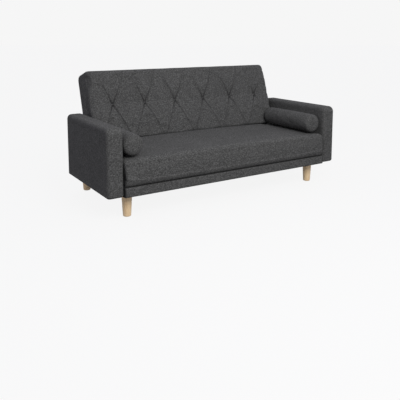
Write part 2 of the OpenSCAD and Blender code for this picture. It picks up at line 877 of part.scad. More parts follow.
// Hinge pieces on the base
module hinge_seat_bracket(side) {
  y0 = foot_y1 - foot_l;
  z0 = base_top + foot_lift;
  color(steel) placed() on_side(side) difference() {
    plate(seat_plate_x, plate_t) union() {
      translate([hinge_y, hinge_z]) circle(r = lobe_r);
      polygon([
        [y0, z0],
        [foot_y1, z0],
        [hinge_y, hinge_z] + lobe_r * [cos(20), -sin(20)],
        [hinge_y, hinge_z] + lobe_r * [-cos(25), sin(25)],
        [y0, z0 + foot_h]
      ]);
    }
    rod(seat_plate_x - cut, [hinge_y, hinge_z], pin_d + 2 * run_fit, plate_t + 2 * cut);
    for (a = peg_angles) rod(seat_plate_x - cut, peg(a), screw_d + hole_fit, plate_t + 2 * cut);
    for (s = seat_screw_shares)
      rod(seat_plate_x - cut, seat_screw(s), screw_d + hole_fit, plate_t + 2 * cut);
  }
}

module hinge_pin(side) {
  far = ratchet_x + ratchet_t + slide_gap;
  color(steel) placed() on_side(side) union() {
    rod(pin_head_x, [hinge_y, hinge_z], pin_head_d, pin_head_t);
    rod(pin_head_x, [hinge_y, hinge_z], pin_d, far + pin_head_t - pin_head_x);
    rod(far, [hinge_y, hinge_z], pin_head_d - 2 * hole_fit, pin_head_t);
  }
}

// Two pegs hold the ratchet plate in its bracket, on the side that has no notches
peg_angles = [195, 300];
peg_r = ratchet_r - peg_inset;
function peg(a) = [hinge_y + peg_r * cos(a), hinge_z + peg_r * sin(a)];

// A notch takes the tooth of a dropped pawl with a gap all round
notch_outline = [
  [-tooth_w * 0.8, ratchet_r + rim_step],
  [-tooth_w * 0.26, ratchet_r - tooth_l - tooth_gap],
  [tooth_w * 1.3, ratchet_r - tooth_l - tooth_gap],
  [tooth_w * 1.55, ratchet_r + rim_step]
];

module ratchet_plate(side) {
  color(steel) placed() on_side(side) union() {
    difference() {
      rod(ratchet_x, [hinge_y, hinge_z], 2 * ratchet_r, ratchet_t);
      rod(ratchet_x - cut, [hinge_y, hinge_z], pin_d + 2 * run_fit, ratchet_t + 2 * cut);
      for (i = [0:stop_n - 1])
        plate(ratchet_x - cut, ratchet_t + 2 * cut)
          translate([hinge_y, hinge_z]) rotate(-back_lean - i * stop_turn) polygon(notch_outline);
    }
    for (a = peg_angles) rod(seat_plate_x, peg(a), screw_d, plate_t + ratchet_t / 2);
  }
}

module screw(x, p, l) {
  union() {
    rod(x - l, p, screw_d, l);
    rod(x, p, head_d, head_t);
  }
}

module seat_bracket_screws() {
  color(steel) placed() both_sides()
    for (s = seat_screw_shares) screw(seat_plate_x + plate_t, seat_screw(s), seat_screw_l);
}

// Back frame
module back_top_rail() {
  color(timber) on_slab()
    block([-frame_x, frame_n0, frame_d1 - back_member], [frame_x, frame_n1, frame_d1]);
}

module back_bottom_rail() {
  color(timber) on_slab()
    block([-frame_x, frame_n0, frame_d0], [frame_x, frame_n1, frame_d0 + back_member]);
}

function back_screw(s) = [screw_n, d_low + s * (d_high - d_low) * 0.6];

module back_stiles() {
  d0 = frame_d0 + back_member;
  d1 = frame_d1 - back_member;
  color(timber) on_slab() both_sides() {
    block([cross_x - back_member / 2, frame_n0, d0], [cross_x + back_member / 2, frame_n1, d1]);
    difference() {
      block([frame_x - back_member, frame_n0, d0], [frame_x, frame_n1, d1]);
      for (s = back_screw_shares)
        rod(frame_x - back_screw_l, back_screw(s), screw_d + hole_fit, back_screw_l + cut);
    }
  }
}

module back_webbing() {
  column_step = (2 * frame_x - web_w) / (web_columns - 1);
  row_step = (frame_d1 - frame_d0 - web_w) / (web_rows + 1);
  color(black_cloth) on_slab()
    translate([0, frame_n0, 0]) rotate([90, 0, 0]) linear_extrude(web_t) union() {
      for (i = [0:web_columns - 1])
        translate([-frame_x + i * column_step, frame_d0]) square([web_w, frame_d1 - frame_d0]);
      for (j = [1:web_rows])
        translate([-frame_x, frame_d0 + j * row_step]) square([2 * frame_x, web_w]);
    }
}

module back_foam() {
  color(foam_colour) on_slab() block(
    [-frame_x, cavity_n0 + seat_fit, frame_d0],
    [frame_x, frame_n0 - web_t, frame_d1]
  );
}

module back_cover() {
  mid = [n_mid, d_mid];
  color(fabric) on_slab() difference() {
    skin(slab_rings, [-slab_hw, mid.x, mid.y], [slab_hw, mid.x, mid.y]);
    block([-cavity_x, cavity_n0, cavity_d0], [cavity_x, n_rear + cut, cavity_d1]);
    for (x = button_xs)
      translate([x, button_n, row_mid]) rotate([90, 0, 0])
        cylinder(d = button_d + 2 * seat_fit, h = back_face_quilt);
    both_sides()
      for (s = back_screw_shares)
        rod(cavity_x - cut, back_screw(s), screw_d + 2 * hole_fit, back_quilt + 2 * cut);
  }
}

module back_rear_panel() {
  color(black_cloth) on_slab() block([-frame_x, frame_n1, frame_d0], [frame_x, n_rear, frame_d1]);
}

module tuft_buttons() {
  r = button_d / 2;
  rim = button_h * 0.3;
  color(fabric) on_slab()
    for (x = button_xs)
      translate([x, button_n, row_mid]) rotate([90, 0, 0]) rotate_extrude() polygon(concat(
        [[0, 0], [r, 0]],
        [for (a = [0:15:90]) [r * cos(a), rim + (button_h - rim) * sin(a)]]
      ));
}

// Hinge pieces on the back. The stud carries the pawl and the post its leaf spring.
stud = [stud_n, stud_d_up];
plate_n0 = frame_n0 + plate_inset;
plate_n1 = frame_n1 - plate_inset;
plate_d1 = 6 * hinge_gap;

module hinge_back_bracket(side) {
  color(steel) on_slab() on_side(side) union() {
    difference() {
      plate(back_plate_x, plate_t) union() {
        circle(r = back_lobe_r);
        polygon([
          back_lobe_r * [cos(145), sin(145)],
          [back_lobe_r, 0],
          [plate_n1, hinge_gap * 2.4],
          [plate_n1, plate_d1],
          [plate_n0, plate_d1],
          [plate_n0, hinge_gap * 3.3]
        ]);
      }
      rod(back_plate_x - cut, [0, 0], pin_d + 2 * run_fit, plate_t + 2 * cut);
      for (s = back_screw_shares)
        rod(back_plate_x - cut, back_screw(s), screw_d + hole_fit, plate_t + 2 * cut);
    }
    rod(back_plate_x + plate_t / 2, stud, stud_d, pawl_x + ratchet_t + slide_gap - back_plate_x);
    rod(pawl_x + ratchet_t + slide_gap, stud, stud_d + 2 * stud_cap_rim, clip_t);
    rod(
      back_plate_x + plate_t / 2,
      spring_post,
      spring_post_d,
      pawl_x + ratchet_t - back_plate_x - plate_t / 2
    );
  }
}

module back_bracket_screws() {
  color(steel) on_slab() both_sides()
    for (s = back_screw_shares) screw(back_plate_x + plate_t, back_screw(s), back_screw_l);
}

// Pawl outline, lifted clear of the ratchet plate's rim
tooth_tip = ratchet_r + tooth_gap;
pawl_back = stud.y + pawl_r;
pawl_outline = [
  [stud.x - tooth_w * 0.2, pawl_back],
  [-tooth_w * 0.9, tooth_tip + 2 * tooth_l],
  [-tooth_w * 0.7, tooth_tip + tooth_l],
  [-tooth_w / 2, tooth_tip],
  [tooth_w / 2, tooth_tip],
  [tooth_w * 0.7, tooth_tip + tooth_l],
  [stud.x + tooth_w * 0.4, stud.y - pawl_r]
];

module pawl(side) {
  color(steel) on_slab() on_side(side) difference() {
    plate(pawl_x, ratchet_t) union() {
      translate(stud) circle(r = pawl_r);
      polygon(pawl_outline);
    }
    rod(pawl_x - cut, stud, stud_d + 2 * run_fit, ratchet_t + 2 * cut);
  }
}

// A leaf wraps its post and lies just above the pawl's back
module pawl_springs() {
  tip = [tooth_w, pawl_outline[1].y + tooth_w * 0.75];
  root = spring_post + [-spring_post_d / 3, -spring_post_d / 2 - leaf_t];
  rise = [-leaf_t / 2, leaf_t];
  color(steel) on_slab() both_sides() difference() {
    plate(pawl_x, ratchet_t) union() {
      translate(spring_post) circle(d = spring_post_d + 4 * leaf_t);
      polygon([root, tip, tip + rise, root + rise]);
    }
    rod(pawl_x - cut, spring_post, spring_post_d + 2 * run_fit, ratchet_t + 2 * cut);
  }
}

// Bolsters
bolster_steps = 8;
function bolster_profile(shrink) =
  let (
    r = bolster_d / 2 - shrink,
    l = bolster_l - 2 * shrink,
    rim = bolster_dome
  )
  concat(
    [for (s = [0, 0.35, 0.6, 0.8, 0.93]) [r * s * 0.94, rim * pow(s, 3)]],
    [
      for (i = [0:bolster_steps])
        let (t = i / bolster_steps)
        [r - bolster_taper * pow(2 * t - 1, 2), rim + (l - 2 * rim) * t]
    ],
    [for (s = [0.93, 0.8, 0.6, 0.35, 0]) [r * s * 0.94, l - rim * pow(s, 3)]]
  );

module bolster_turning(side, shrink) {
  placed() on_side(side) translate([bolster_x, bolster_front + shrink, bolster_z])
    rotate([-90, 0, 0]) rotate_extrude() polygon(bolster_profile(shrink));
}

module bolster_cover(side) {
  color(fabric) difference() {
    bolster_turning(side, 0);
    bolster_turning(side, bolster_skin);
  }
}

module bolster_filling(side) {
  color(foam_colour) bolster_turning(side, bolster_skin + seat_fit);
}

base_front_rail();
base_rear_rail();
base_side_rail(left);  // base_side_rail_left
base_side_rail(right);  // base_side_rail_right
base_cross_rails();
leg_blocks();
base_front_band();
dust_cover();
rear_deck_panel();
back_bumpers();
leg(left, [leg_x, leg_front_y]);  // leg_front_left
leg(right, [leg_x, leg_front_y]);  // leg_front_right
leg(left, [leg_rear_x, leg_rear_y]);  // leg_rear_left
leg(right, [leg_rear_x, leg_rear_y]);  // leg_rear_right
leg_glides();
hanger_bolts();
leg_tee_nuts();
seat_front_rail();
seat_rear_rail();
seat_side_rails();
seat_springs();
spring_clips();
seat_foam();
seat_cover();
arm_frame(left);  // arm_frame_left
arm_frame(right);  // arm_frame_right
arm_cover(left);  // arm_cover_left
arm_cover(right);  // arm_cover_right
arm_board(left);  // arm_board_left
arm_board(right);  // arm_board_right
arm_bolts();
hinge_seat_bracket(left);  // hinge_seat_bracket_left
hinge_seat_bracket(right);  // hinge_seat_bracket_right
hinge_pin(left);  // hinge_pin_left
hinge_pin(right);  // hinge_pin_right
ratchet_plate(left);  // ratchet_plate_left
ratchet_plate(right);  // ratchet_plate_right
seat_bracket_screws();
back_top_rail();
back_bottom_rail();
back_stiles();
back_webbing();
back_foam();
back_cover();
back_rear_panel();
tuft_buttons();
hinge_back_bracket(left);  // hinge_back_bracket_left
hinge_back_bracket(right);  // hinge_back_bracket_right
back_bracket_screws();
pawl_springs();
pawl(left);  // pawl_left
pawl(right);  // pawl_right
bolster_cover(left);  // bolster_cover_left
bolster_cover(right);  // bolster_cover_right
bolster_filling(left);  // bolster_filling_left
bolster_filling(right);  // bolster_filling_right
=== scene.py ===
# %% [markdown]
# # A tufted sofa bed
#
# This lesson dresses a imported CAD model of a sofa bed: a bench seat between two
# padded slab arms, a diamond-tufted back that folds down flat, two round bolsters
# and four turned legs. The CAD model is the fixed frame. Every cushion is worked
# out with numpy as a surface in the space that its CAD solid holds, then swollen a
# little with Blender's cloth, so that it looks stuffed and sewn, not machined.

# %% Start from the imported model
import json
import math

import bpy
import numpy as np
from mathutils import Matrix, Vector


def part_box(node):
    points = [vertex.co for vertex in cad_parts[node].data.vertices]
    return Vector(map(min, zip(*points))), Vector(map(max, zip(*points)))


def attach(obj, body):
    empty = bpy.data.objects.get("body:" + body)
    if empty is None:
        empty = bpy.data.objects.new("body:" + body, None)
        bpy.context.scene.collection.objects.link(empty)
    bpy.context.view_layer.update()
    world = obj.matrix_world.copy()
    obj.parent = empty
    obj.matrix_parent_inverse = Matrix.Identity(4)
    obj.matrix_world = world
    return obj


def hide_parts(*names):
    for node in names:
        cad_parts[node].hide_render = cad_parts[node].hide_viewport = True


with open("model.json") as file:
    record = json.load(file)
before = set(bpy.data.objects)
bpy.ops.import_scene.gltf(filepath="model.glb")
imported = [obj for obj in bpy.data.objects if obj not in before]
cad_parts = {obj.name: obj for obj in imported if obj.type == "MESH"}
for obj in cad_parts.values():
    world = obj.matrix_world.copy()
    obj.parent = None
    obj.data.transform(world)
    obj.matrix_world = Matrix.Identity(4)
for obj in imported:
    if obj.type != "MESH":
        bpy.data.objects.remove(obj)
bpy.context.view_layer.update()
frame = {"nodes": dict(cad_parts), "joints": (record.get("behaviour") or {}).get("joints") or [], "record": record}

# %% [markdown]
# ## The camera
#
# The camera stands to the left, a little above the arms. It looks down by a few
# degrees and its picture is shifted a little, which puts the sofa in the upper half
# and keeps its uprights nearly upright. A larger shift would throw other views off
# centre.

# %% Camera
SENSOR_MM = 36
IMAGE_PX = 400


def place_camera(place, turn, tilt, focal_px, shift):
    """Puts a camera at a place, turned to the right of +Y and tilted down, in degrees.
    The focal length in pixels times the sensor over the image width is in millimetres."""
    data = bpy.data.cameras.new("camera")
    data.sensor_width = SENSOR_MM
    data.lens = focal_px * SENSOR_MM / IMAGE_PX
    data.shift_y = shift
    data.clip_end = 100
    camera = bpy.data.objects.new("camera", data)
    bpy.context.scene.collection.objects.link(camera)
    camera.location = place
    camera.rotation_euler = (math.radians(90 - tilt), 0, math.radians(-turn))
    bpy.context.scene.camera = camera
    print("lens", round(data.lens, 2), "mm, shift", shift)


CAMERA_PLACE = (-2.1156, -3.3199, 1.1476)
place_camera(CAMERA_PLACE, turn=32.258, tilt=7.043, focal_px=527.0, shift=-0.25)

# %% [markdown]
# ## Colours and nodes
#
# Colours are written as sRGB hex values, as a painter or a screen gives them, and
# one function turns them to the linear values that shaders work with. One other
# function adds a node with its settings and its links.

# %% Helpers for materials


def linear(code):
    """sRGB hex to linear RGBA: below 0.04045 a channel is divided by 12.92, and above it
    the channel plus 0.055 is divided by 1.055 and raised to the power 2.4."""
    parts = np.array([int(code[i:i + 2], 16) for i in (1, 3, 5)]) / 255
    low = parts / 12.92
    high = ((parts + 0.055) / 1.055) ** 2.4
    return (*np.where(parts <= 0.04045, low, high).tolist(), 1)


def add(tree, kind, settings=None, **inputs):
    """Adds a node. settings are its own properties. Each input is a value, or a node and
    the name of the output to link. An input called i6 is the node's input number 6."""
    node = tree.nodes.new("ShaderNode" + kind)
    for key, value in (settings or {}).items():
        setattr(node, key, value)
    for key, value in inputs.items():
        place = int(key[1:]) if key[0] == "i" and key[1:].isdigit() else key.replace("_", " ")
        socket = node.inputs[place]
        if isinstance(value, tuple) and isinstance(value[0], bpy.types.Node):
            tree.links.new(value[0].outputs[value[1]], socket)
        else:
            socket.default_value = value
    return node


def new_material(name):
    """A material with an empty node tree and its output node."""
    material = bpy.data.materials.new(name)
    material.use_nodes = True
    material.node_tree.nodes.clear()
    return material, material.node_tree, add(material.node_tree, "OutputMaterial")


def noise(tree, vector, spot_mm, **inputs):
    """A noise texture whose spots are about spot_mm across, on coordinates in metres."""
    return add(tree, "TexNoise", Vector=vector, Scale=1000 / spot_mm, **inputs)


def waves_per_mm(period):
    """Scale of a wave pattern with one band every period millimetres: Blender's bands
    repeat each 2 pi / (20 scale) metres."""
    return 2 * math.pi / (20 * period / 1000)


def principled(tree, out, **inputs):
    """Adds the shader of a material and links it to the output."""
    shader = add(tree, "BsdfPrincipled", **inputs)
    tree.links.new(shader.outputs["BSDF"], out.inputs["Surface"])


def even(value):
    """An even linear grey, for masks and factors."""
    return (value, value, value, 1)


def combine(tree, how, first, second):
    """A math node on two values or links."""
    return add(tree, "Math", {"operation": how}, i0=first, i1=second)


def ramp(tree, source, stops):
    """A colour ramp with the given stops over a grey value."""
    node = add(tree, "ValToRGB", Fac=source)
    elements = node.color_ramp.elements
    while len(elements) < len(stops):
        elements.new(0.5)
    for element, (place, colour) in zip(elements, stops):
        element.position = place
        element.color = colour
    return node


def mix(tree, amount, first, second, how="MIX"):
    """Mixes two colours, or two links to colours, by an amount."""
    settings = {"data_type": "RGBA", "blend_type": how}
    return add(tree, "Mix", settings, i0=amount, i6=first, i7=second)


print("charcoal", [round(v, 3) for v in linear("#47474a")[:3]])

# %% [markdown]
# ## Upholstery cloth
#
# The cloth is a charcoal melange, a plain weave of polyester spun to look like
# linen. Its yarns are dyed in two greys, so it looks flecked from near by and plain
# from afar. The real yarns are under a millimetre apart, too fine for a picture of a
# whole sofa, so the flecks are drawn some millimetres long. The weave itself is
# a fine bump. The fold lines of the tufting, its buttons and the seams carry a value of
# their own, fold, which darkens the cloth there: painted shade for their shadow.

# %% Melange upholstery cloth
YARN_MM = 2.2
FLECK_MM = 4.0
CLOUD_MM = 160.0
# Near-black of the painted shade in folds, at buttons and in seams
PAINTED_SHADE = "#0b0b0c"


def melange_cloth(name, dark, body, light):
    """A woven melange: noise drawn out along X for the yarn's flecks, small light spots,
    three crossed bands for the weave, a slow cloud of lighter and darker cloth, and
    painted shade in the folds and seams."""
    material, tree, out = new_material(name)
    place = add(tree, "TexCoord")
    slubs = add(tree, "Mapping", Vector=(place, "Object"), Scale=(0.45, 0.8, 1.0))
    fleck = noise(tree, (slubs, "Vector"), FLECK_MM, Detail=2.0, Roughness=0.6)
    spots = noise(tree, (place, "Object"), FLECK_MM * 1.3, Detail=1.0, Roughness=0.5)
    cloud = noise(tree, (place, "Object"), CLOUD_MM, Detail=2.0)
    base = ramp(tree, (fleck, "Fac"), [(0.34, linear(dark)), (0.50, linear(body)),
                                       (0.68, linear(light))])
    bright = ramp(tree, (spots, "Fac"), [(0.57, even(0)), (0.72, even(0.8))])
    flecked = mix(tree, (bright, "Color"), (base, "Color"), linear(light))
    shade = ramp(tree, (cloud, "Fac"), [(0.3, even(0.95)), (0.7, even(1.03))])
    clouded = mix(tree, 1.0, (flecked, 2), (shade, "Color"), "MULTIPLY")
    # Painted shade: the fold value darkens the cloth towards that near-black
    fold = add(tree, "Attribute", {"attribute_name": "fold"})
    shaded_cloth = mix(tree, (fold, "Fac"), (clouded, 2), linear(PAINTED_SHADE))
    bands = [
        add(tree, "TexWave", {"wave_type": "BANDS", "bands_direction": axis},
            Vector=(place, "Object"), Scale=waves_per_mm(YARN_MM), Distortion=1.2,
            Detail=1.0, Detail_Scale=2.0)
        for axis in "XYZ"
    ]
    crossed = combine(tree, "ADD", (bands[0], "Fac"), (bands[1], "Fac"))
    weave = combine(tree, "ADD", (crossed, "Value"), (bands[2], "Fac"))
    relief = add(tree, "Math", {"operation": "MULTIPLY_ADD"}, i0=(fleck, "Fac"), i1=1.5,
                 i2=(weave, "Value"))
    bump = add(tree, "Bump", Strength=0.3, Distance=0.0005, Height=(relief, "Value"))
    principled(tree, out, Base_Color=(shaded_cloth, 2), Roughness=0.95, Sheen_Weight=0.03,
               Sheen_Roughness=0.5, Specular_IOR_Level=0.05, Normal=(bump, "Normal"))
    return material


upholstery = melange_cloth("melange_upholstery_cloth", "#3c3c3b", "#494947", "#6a6a68")
print("made", upholstery.name)

# %% [markdown]
# ## Wood, metal, plastic and lining
#
# The legs are turned beech with a clear satin lacquer: a pale pinkish tan, with fine
# grain along the leg. The frame inside is planed pine. The hinge plates are steel with a
# black paint and the other steel is zinc-plated, the springs drawn wire, the glides black
# polypropylene, and the cloth below is spun-bonded polypropylene.

# %% Beech and pine


def wood(name, dark, light, grain_mm, gloss):
    """Straight grain: noise squeezed across Z and drawn out along it, with darker rays."""
    material, tree, out = new_material(name)
    place = add(tree, "TexCoord")
    along = add(tree, "Mapping", Vector=(place, "Object"), Scale=(1.0, 1.0, 0.06))
    grain = noise(tree, (along, "Vector"), grain_mm, Detail=4.0, Roughness=0.6)
    rays = noise(tree, (along, "Vector"), grain_mm / 5, Detail=2.0)
    base = ramp(tree, (grain, "Fac"), [(0.32, linear(dark)), (0.68, linear(light))])
    fine = ramp(tree, (rays, "Fac"), [(0.35, (0.9, 0.88, 0.85, 1)), (0.6, (1, 1, 1, 1))])
    tone = mix(tree, 1.0, (base, "Color"), (fine, "Color"), "MULTIPLY")
    bump = add(tree, "Bump", Strength=0.12, Distance=0.0004, Height=(rays, "Fac"))
    principled(tree, out, Base_Color=(tone, 2), Roughness=gloss, Normal=(bump, "Normal"))
    return material


beech = wood("lacquered_beech", "#eecb9b", "#f9e0b6", 9.0, 0.42)
pine = wood("planed_pine", "#b98f5c", "#d9b986", 14.0, 0.7)
print("made", beech.name, "and", pine.name)

# %% Metal, plastic, foam and lining


def fine_surface(name, code, spot_mm, depth_mm, **finish):
    """One colour with fine relief: spots of spot_mm that lighten it a little and rise by
    depth_mm. finish goes to the shader's own sockets."""
    material, tree, out = new_material(name)
    place = add(tree, "TexCoord")
    spots = noise(tree, (place, "Object"), spot_mm, Detail=3.0)
    low = tuple(v * 0.86 for v in linear(code)[:3]) + (1,)
    high = tuple(min(1, v * 1.12) for v in linear(code)[:3]) + (1,)
    base = ramp(tree, (spots, "Fac"), [(0.35, low), (0.65, high)])
    bump = add(tree, "Bump", Strength=0.4, Distance=depth_mm / 1000, Height=(spots, "Fac"))
    principled(tree, out, Base_Color=(base, "Color"), Normal=(bump, "Normal"), **finish)
    return material


# Zinc plate is a soft grey metal with a faint spangle
zinc = fine_surface("zinc_plated_steel", "#a9adb2", 2.5, 0.05, Metallic=1.0, Roughness=0.38)
# The hinge plates are pressed steel with a thin black paint, satin and a little uneven
coated = fine_surface("black_painted_steel", "#27282a", 2.0, 0.04, Roughness=0.45)
# Drawn spring wire is darker and smoother along its length
wire = fine_surface("drawn_spring_wire", "#7c8086", 1.5, 0.03, Metallic=1.0, Roughness=0.32)
# Moulded polypropylene has a dull, slightly pebbled skin
moulded = fine_surface("moulded_polypropylene", "#232325", 1.2, 0.1, Roughness=0.55)
# Open-cell foam is pale and wholly matt
foam = fine_surface("polyurethane_foam", "#e2d8ae", 3.0, 0.4, Roughness=1.0)
# Spun-bonded cloth is thin, dull and faintly dimpled
lining = fine_surface("spunbonded_lining", "#1b1b1d", 3.0, 0.25, Roughness=0.95)

SLOT_FINISH = {
    "fabric": upholstery, "cover_lining": lining, "foam": foam, "leg_wood": beech,
    "frame_timber": pine, "steel": zinc, "spring_steel": wire, "plastic": moulded,
}
for row in frame["record"]["subparts"]:
    mesh = frame["nodes"][row["node"]].data
    mesh.materials.clear()
    plate = row["node"].startswith(("hinge_seat_bracket", "hinge_back_bracket"))
    mesh.materials.append(coated if plate else SLOT_FINISH[row["material_slot"]])
print("finished", len(frame["nodes"]), "CAD nodes")

# %% [markdown]
# ## Where the cushions go
#
# Every cushion is drawn in millimetres from the front plane of the arms, as a maker
# would measure it, and its points are turned to metres in the frame's own place at
# the end. The frame says where the arms' front plane and the hinge are.

# %% Places read from the frame
ARM_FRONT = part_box("arm_cover_left")[0].y
FOLD = next(j for j in frame["joints"] if j["name"] == "back_fold")
HINGE_Y = (FOLD["pos_m"][1] - ARM_FRONT) * 1000
HINGE_Z = FOLD["pos_m"][2] * 1000
LEAN = math.radians(18)
print("hinge", round(HINGE_Y, 1), round(HINGE_Z, 1), "mm from the arms' front plane")


def to_frame(points):
    """Millimetres from the arms' front plane to metres in the frame: divide by a
    thousand and move along Y by the front plane's place."""
    moved = np.asarray(points, float) / 1000
    moved[..., 1] += ARM_FRONT
    return moved


def lean_back(points):
    """Slab coordinates (x, n, d) to sofa coordinates: n points to the rear and d up the
    face, both turned back about the hinge by the lean."""
    x, n, d = points[..., 0], points[..., 1], points[..., 2]
    return np.stack([
        x,
        HINGE_Y + d * math.sin(LEAN) + n * math.cos(LEAN),
        HINGE_Z + d * math.cos(LEAN) - n * math.sin(LEAN),
    ], axis=-1)


# %% [markdown]
# ## A closed skin over rings
#
# All the soft pieces are made the same way: a closed outline, such as the side view
# of a seat, is repeated along the piece as rings. At each end the rings shrink along
# a quarter circle, which rounds the edge, and then draw together to one point, which
# closes the end. So a piece is a grid, rings by points, and its shape is a function
# of the two grid numbers.

# %% Rings to mesh


def smooth_noise(a, b, size, seed, octaves=3):
    """Gentle unevenness between about -1 and 1: a sum of sine waves with directions and
    phases drawn from a seeded generator, each octave half as long and half as high."""
    draw = np.random.default_rng(seed)
    total = np.zeros(np.broadcast(a, b).shape)
    for octave in range(octaves):
        for _ in range(4):
            turn, phase = draw.uniform(0, 2 * math.pi, 2)
            reach = size / 2 ** octave * draw.uniform(0.8, 1.25)
            total += np.sin(2 * math.pi * (a * math.cos(turn) + b * math.sin(turn)) / reach
                            + phase) / (4 * 2 ** octave)
    return total


def skin_faces(rings, around):
    """Quads between neighbouring rings and triangles to the two tips. Ring i, point j is
    number i times around plus j, and the tips are the last two numbers."""
    i, j = np.meshgrid(np.arange(rings - 1), np.arange(around), indexing="ij")
    a, b = i * around + j, i * around + (j + 1) % around
    quads = np.stack([a, a + around, b + around, b], axis=-1).reshape(-1, 4)
    j = np.arange(around)
    k, last = (j + 1) % around, (rings - 1) * around
    first_tip = np.full(around, rings * around)
    fans = np.concatenate([
        np.stack([first_tip, j, k], axis=-1),
        np.stack([first_tip + 1, last + k, last + j], axis=-1),
    ])
    return quads, fans


def put_mesh(name, points, quads, fans, fold=None):
    """Makes a smooth-shaded mesh object from points in metres and its faces."""
    mesh = bpy.data.meshes.new(name)
    loops = np.concatenate([quads.ravel(), fans.ravel()]).astype(np.int32)
    counts = np.concatenate([np.full(len(quads), 4), np.full(len(fans), 3)])
    mesh.vertices.add(len(points))
    mesh.vertices.foreach_set("co", np.asarray(points, np.float32).ravel())
    mesh.loops.add(len(loops))
    mesh.loops.foreach_set("vertex_index", loops)
    mesh.polygons.add(len(counts))
    mesh.polygons.foreach_set("loop_start", np.concatenate([[0], np.cumsum(counts)[:-1]]))
    mesh.polygons.foreach_set("use_smooth", np.ones(len(counts), bool))
    # fold is each point's painted shade, which the cloth material reads
    if fold is not None:
        mesh.attributes.new("fold", "FLOAT", "POINT").data.foreach_set(
            "value", np.asarray(fold, np.float32).ravel())
    mesh.update(calc_edges=True)
    mesh.validate()
    piece = bpy.data.objects.new(name, mesh)
    bpy.context.scene.collection.objects.link(piece)
    return piece


def volume_sign(points, quads, fans):
    """Six times the signed volume: the sum over triangles of a . (b x c). It is positive
    when the faces point outwards."""
    tris = np.concatenate([quads[:, [0, 1, 2]], quads[:, [0, 2, 3]], fans])
    a, b, c = (points[tris[:, k]] for k in range(3))
    return float(np.sum(a * np.cross(b, c)))


# %% [markdown]
# ## Stuffing with cloth
#
# A real cover is pulled over its foam and held where it is sewn or stapled. Blender's
# Cloth does that to the ring grid: air pressure pushes the cover out, the fabric is a
# little larger than its form so that it makes soft wrinkles, and the held places stay.
# The simulation runs on every second ring and point, which is fast, and how far each
# point moved is then spread over the whole grid and capped.

# %% Swelling a cover
CLOTH_FRAMES = 14
CLOTH_STIFFNESS = 8.0


def half_grid(count):
    """Every second number below count, and always the last."""
    picked = list(range(0, count, 2))
    return picked if picked[-1] == count - 1 else picked + [count - 1]


def spread(moves, rings, points, ring_count, point_count):
    """Carries moves known on some rings and points to the whole grid, by straight lines
    along the rings and then round them, where the last point joins the first."""
    every_ring = np.arange(ring_count)
    along = np.stack([
        np.stack([np.interp(every_ring, rings, moves[:, p, k]) for k in range(3)], axis=-1)
        for p in range(moves.shape[1])
    ], axis=1)
    every_point = np.arange(point_count)
    closed = np.concatenate([along, along[:, :1]], axis=1)
    places = np.append(points, point_count)
    return np.stack([
        np.stack([np.interp(every_point, places, closed[r, :, k]) for k in range(3)], axis=-1)
        for r in range(ring_count)
    ], axis=0)


def swell(rings, held, cap_mm, pressure, slack):
    """Runs Cloth on a grid of rings in millimetres and returns the swollen grid. held is
    how firmly each point is kept in place, from 0 to 1, and no point moves past the cap."""
    ring_count, point_count = rings.shape[:2]
    some_rings, some_points = half_grid(ring_count), list(range(0, point_count, 2))
    coarse = rings[np.ix_(some_rings, some_points)]
    hold = held[np.ix_(some_rings, some_points)].ravel()
    quads, fans = skin_faces(*coarse.shape[:2])
    tips = np.stack([coarse[0].mean(axis=0), coarse[-1].mean(axis=0)])
    start = np.concatenate([coarse.reshape(-1, 3), tips]) / 1000
    piece = put_mesh("swelling", start, quads, fans)
    group = piece.vertex_groups.new(name="held")
    levels = np.append(np.round(hold * 8) / 8, [1.0, 1.0])
    for level in np.unique(levels[levels > 0]):
        group.add(np.flatnonzero(levels == level).tolist(), float(level), "REPLACE")
    cloth = piece.modifiers.new("cloth", "CLOTH")
    set_up = cloth.settings
    set_up.quality = 5
    set_up.mass = 0.25
    set_up.tension_stiffness = set_up.compression_stiffness = CLOTH_STIFFNESS
    set_up.shear_stiffness = CLOTH_STIFFNESS / 2
    set_up.bending_stiffness = 0.8
    set_up.air_damping = 3
    set_up.shrink_min = -slack
    set_up.use_pressure = True
    set_up.uniform_pressure_force = pressure
    set_up.vertex_group_mass = "held"
    set_up.pin_stiffness = 1
    set_up.effector_weights.gravity = 0
    cloth.collision_settings.use_collision = False
    scene = bpy.context.scene
    for step in range(1, CLOTH_FRAMES + 1):
        scene.frame_set(step)
    shape = piece.evaluated_get(bpy.context.evaluated_depsgraph_get()).to_mesh()
    moved = np.zeros(len(start) * 3, np.float32)
    shape.vertices.foreach_get("co", moved)
    step_mm = (moved.reshape(-1, 3) - start)[:-2] * 1000
    mesh = piece.data
    bpy.data.objects.remove(piece)
    bpy.data.meshes.remove(mesh)
    scene.frame_set(1)
    length = np.linalg.norm(step_mm, axis=1, keepdims=True)
    step_mm *= np.minimum(1, cap_mm / np.maximum(length, 1e-9))
    moves = spread(step_mm.reshape(coarse.shape), some_rings, some_points, ring_count,
                   point_count)
    print("   cloth moved up to", round(float(length.max()), 1), "mm, mean",
          round(float(length.mean()), 2), "mm")
    return rings + moves


def cover(name, rings, fold=None):
    """Turns a grid of rings in frame metres into an upholstered piece, with its faces
    outwards. fold is painted shade: how dark each point's cloth is made for its shadow."""
    quads, fans = skin_faces(*rings.shape[:2])
    tips = np.stack([rings[0].mean(axis=0), rings[-1].mean(axis=0)])
    points = np.concatenate([rings.reshape(-1, 3), tips])
    if volume_sign(points, quads, fans) < 0:
        quads, fans = quads[:, ::-1], fans[:, ::-1]
    if fold is not None:
        fold = np.concatenate([fold.ravel(), [0, 0]])
    piece = put_mesh(name, points, quads, fans, fold)
    piece.data.materials.append(upholstery)
    print("  ", name, len(points), "points")
    return piece


def arc(centre, radius, start, end, steps):
    """Points on an arc, angles in degrees, both ends included."""
    a = np.radians(np.linspace(start, end, steps))
    return np.stack([centre[0] + radius * np.cos(a), centre[1] + radius * np.sin(a)], axis=-1)


